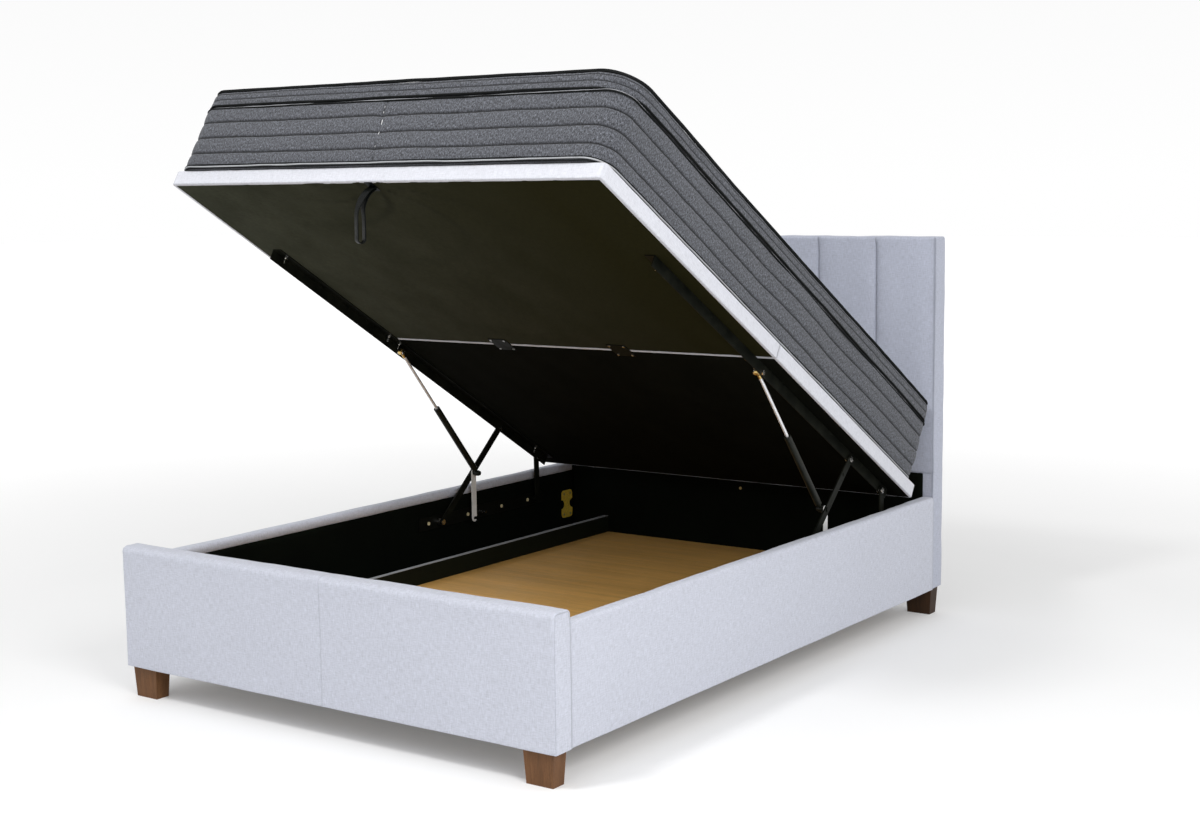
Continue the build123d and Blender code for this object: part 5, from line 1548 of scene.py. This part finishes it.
class BED_OT_strap(bpy.types.Operator):
    """Hangs the pull strap's stitched loop under the foot edge"""

    bl_idname = "bed.strap"
    bl_label = "Pull strap"

    def execute(self, context):
        given = settings("bed_strap")
        leather = leather_material("strap leather", given.colour, scaled(given.colour, 1.6))
        path = self.loop_path(given, limits("pull_strap")[0])
        wide, half = given.width / 2, given.thickness / 2
        stitched = [(0.0006, 1.0), (0.0030, 0.92), (0.0036, 0.80), (0.0044, 0.94)]
        section = [(-wide, -0.45), (-wide, 0.45), *[(-wide + x, t) for x, t in stitched]]
        section += [(-wide * 0.4, 1.06), (0.0, 1.1), (wide * 0.4, 1.06)]
        section += [*[(wide - x, t) for x, t in stitched[::-1]], (wide, 0.45), (wide, -0.45)]
        section += [(wide - 0.0006, -1.0), (wide * 0.4, -0.96), (0.0, -0.94)]
        section += [(-wide * 0.4, -0.96), (-wide + 0.0006, -1.0)]
        section = [(x, t * half) for x, t in section]
        sway, out = 0.0005 * ripple(path, 0.05, 120), sideways(path)
        rings = [np.column_stack([np.full(len(path), x) + sway, path + out * t]) for x, t in section]
        points = self.twisted(np.stack(rings, 1).reshape(-1, 3), path, given)
        sides = [math.dist(a, b) for a, b in zip(section, section[1:] + section[:1])]
        faces, cloth = ring_rows(np.concatenate([[0], np.cumsum(sides)]), loop_runs(path), closed=True)
        piece = make_piece("pull_strap_loop", points, faces, [place[::-1] for place in cloth])
        set_up(face_out(piece), "pull_strap", leather, "strap_leather", "pull_strap")
        dress(leather, "strap_anchor")
        return {"FINISHED"}

    def twisted(self, points, path, given):
        """Turns the hanging part of the loop a little about its own upright line."""
        top = path[:, 1].max()
        turn = -given.twist * smooth_step(top - points[:, 2], 0.012, 0.075)
        heights = np.linspace(path[:, 1].min(), top, 60)
        middle = np.array([path[np.abs(path[:, 1] - z) < 0.006, 0].mean() for z in heights])
        smoothed = np.convolve(np.pad(middle, 2, "edge"), np.ones(5) / 5, "valid")
        centre = np.interp(points[:, 2], heights, smoothed)
        x, y = points[:, 0], points[:, 1] - centre
        turned = [x * np.cos(turn) - y * np.sin(turn), centre + x * np.sin(turn) + y * np.cos(turn)]
        return np.column_stack([*turned, points[:, 2]])

    def loop_path(self, given, low):
        """Middle line of the strap's closed loop in the upright plane."""
        half, nose, belly = given.thickness / 2, given.mouth / 2, given.belly / 2
        pivot_z = low[2] + given.hang
        pivot_y = low[1] + given.sweep + belly
        start = math.radians(70)
        cos_start, sin_start = math.cos(start), math.sin(start)

        def arc(centre_y, centre_z, radius, turns):
            return [(centre_y + radius * math.cos(t), centre_z + radius * math.sin(t)) for t in turns]

        def leg(way):
            start_y, start_z = way * (nose - half) * cos_start, -way * (nose - half) * sin_start
            end_y = way * (belly - half) - given.sweep
            bend = (start_y - end_y) / (1 - cos_start)
            centre = (end_y + bend, start_z - bend * sin_start)
            y, z = pivot_y + centre[0], pivot_z + centre[1]
            return [(y - bend * math.cos(t), z + bend * math.sin(t)) for t in np.linspace(start, 0, 22)]

        def line(a, b, count=10):
            steps = range(1, count)
            return [tuple(p + (q - p) * k / count for p, q in zip(a, b)) for k in steps]

        foot, head = leg(-1), leg(1)
        bottom = pivot_z - given.hang + belly
        round_end = arc(pivot_y - given.sweep, bottom, belly - half, np.linspace(math.pi, 2 * math.pi, 13))
        nose_turns = np.linspace(start - math.pi / 2, start + math.pi / 2, 9)[1:-1]
        nose_end = arc(pivot_y, pivot_z, nose - half, nose_turns)
        straight = line(foot[-1], round_end[0]), line(round_end[-1], head[-1])
        return np.array(foot + straight[0] + round_end + straight[1] + head[::-1] + nose_end)


# Wood and metal

class BED_OT_woodwork(bpy.types.Operator):
    """Finishes the legs, the floor boards, the well boards and the hidden frames"""

    bl_idname = "bed.woodwork"
    bl_label = "Woodwork"

    def execute(self, context):
        given = settings("bed_finish")
        leg = tuple(given.leg)
        # Painted shade: the head legs get a darkened copy of the foot legs' stain.
        shaded_head_leg = scaled(leg, 0.28)
        upright, crosswise = (0.0, math.radians(90), 0.0), (0, 0, math.radians(90))
        # Each finish: light, dark, roughness, line width and length, turn, pores, specular
        for names, finish, values in (
            ("leg_foot_left leg_foot_right", "dark stained leg",
             (leg, scaled(leg, 0.5), 0.5, 0.0035, 0.12, upright, 0.5, 0.2)),
            ("leg_head_left leg_head_right", "blackened leg",
             (shaded_head_leg, scaled(shaded_head_leg, 0.4), 0.5, 0.0035, 0.12, upright, 0.5, 0.2)),
            ("floor_boards", "floor board laminate",
             (given.floor_board, scaled(given.floor_board, 0.66), 0.5, 0.006, 0.5)),
            ("well_board_left well_board_right base_sheet", "black faced board",
             ((0.0035, 0.0062, 0.0025), (0.0015, 0.003, 0.001), 0.65, 0.003, 0.3, crosswise, 0.4, 0.16)),
            ("footboard_frame side_rail_frame_left side_rail_frame_right headboard_frame "
             "floor_ledges cross_bearers platform_frames platform_decks", "raw pine and plywood",
             ((0.55, 0.40, 0.24), (0.42, 0.28, 0.15), 0.7, 0.008, 0.4)),
        ):
            dress(wood_material(finish, *values), names)
        grey, worn = (0.30, 0.31, 0.33), (0.42, 0.42, 0.44)
        dress(metal_material("grey edging band", grey, worn, 0.5, 0.0, 0.08, 0.2), "well_board_edging")
        return {"FINISHED"}


class BED_OT_hardware(bpy.types.Operator):
    """Finishes the lift arms, rails, gas springs, brackets, nuts and screws"""

    bl_idname = "bed.hardware"
    bl_label = "Hardware"

    def execute(self, context):
        given = settings("bed_finish")
        steel = tuple(given.steel)
        # Each finish: colour, worn colour, roughness, metallic, patch, scratch, specular
        for names, finish, values in (
            ("lift_base_plate_left lift_base_plate_right", "black base plate",
             (scaled(steel, 0.5), steel, 0.5, 0.0, 0.05, 0.35, 0.1)),
            ("long_arm_right long_arm_left mending_plates top_rail_left top_rail_right "
             "rear_arm_right rear_arm_left", "black painted steel",
             (scaled(steel, 0.7), (0.02, 0.021, 0.014), 0.45, 0.0, 0.05, 0.35, 0.06)),
            ("gas_cylinder_right gas_cylinder_left", "black cylinder enamel",
             (steel, (0.03, 0.031, 0.022), 0.38, 0.0, 0.05, 0.35, 0.2)),
            ("base_pivots mending_screws top_rail_bolts arm_pivots spring_studs", "zinc plated steel",
             (given.zinc, (0.5, 0.48, 0.42), 0.24, 1.0, 0.02, 0.3)),
            ("base_plate_screws", "gilt screw",
             ((0.95, 0.84, 0.52), (0.6, 0.48, 0.24), 0.3, 0.2, 0.02, 0.3)),
            ("corner_brackets", "yellow passivated plate",
             (given.brass, (0.10, 0.065, 0.012), 0.4, 0.25, 0.007, 0.8)),
            ("bracket_screws", "bracket screw",
             ((0.5, 0.4, 0.18), (0.2, 0.15, 0.05), 0.35, 0.8, 0.02, 0.4)),
            ("gas_rod_eye_right gas_rod_eye_left", "turned brass",
             ((0.72, 0.52, 0.2), (0.5, 0.38, 0.18), 0.24, 1.0, 0.02, 0.3)),
            ("gas_rod_right gas_rod_left", "polished rod",
             ((0.86, 0.86, 0.88), (0.66, 0.66, 0.68), 0.3, 0.55, 0.03, 0.15)),
            ("lock_link_right lock_link_left", "white painted steel",
             ((0.80, 0.80, 0.79), (0.55, 0.55, 0.54), 0.4, 0.0, 0.03, 0.3)),
        ):
            dress(metal_material(finish, *values), names)
        return {"FINISHED"}


# Add-on

OPERATORS = (
    BED_OT_stage,
    BED_OT_footboard,
    BED_OT_rails,
    BED_OT_headboard,
    BED_OT_linings,
    BED_OT_platform,
    BED_OT_mattress,
    BED_OT_strap,
    BED_OT_woodwork,
    BED_OT_hardware,
)


class BED_PT_panel(bpy.types.Panel):
    """Lists the bed's pieces"""

    bl_idname = "BED_PT_panel"
    bl_label = "Storage bed"
    bl_space_type = "VIEW_3D"
    bl_region_type = "UI"
    bl_category = "Storage bed"

    def draw(self, context):
        for operator in OPERATORS:
            self.layout.operator(operator.bl_idname)
        for name, group in SETTINGS.items():
            box = self.layout.box()
            box.label(text=group.__doc__)
            for field in group.__annotations__:
                box.prop(getattr(context.scene, name), field)


def register():
    for name, group in SETTINGS.items():
        bpy.utils.register_class(group)
        setattr(bpy.types.Scene, name, bpy.props.PointerProperty(type=group))
    for kind in (*OPERATORS, BED_PT_panel):
        bpy.utils.register_class(kind)


def unregister():
    for kind in (BED_PT_panel, *reversed(OPERATORS)):
        bpy.utils.unregister_class(kind)
    for name, group in SETTINGS.items():
        delattr(bpy.types.Scene, name)
        bpy.utils.unregister_class(group)


def main():
    """Registers the add-on and builds everything in order."""
    register()
    for operator in OPERATORS:
        group, call = operator.bl_idname.split(".")
        getattr(getattr(bpy.ops, group), call)()


if __name__ == "__main__":
    main()
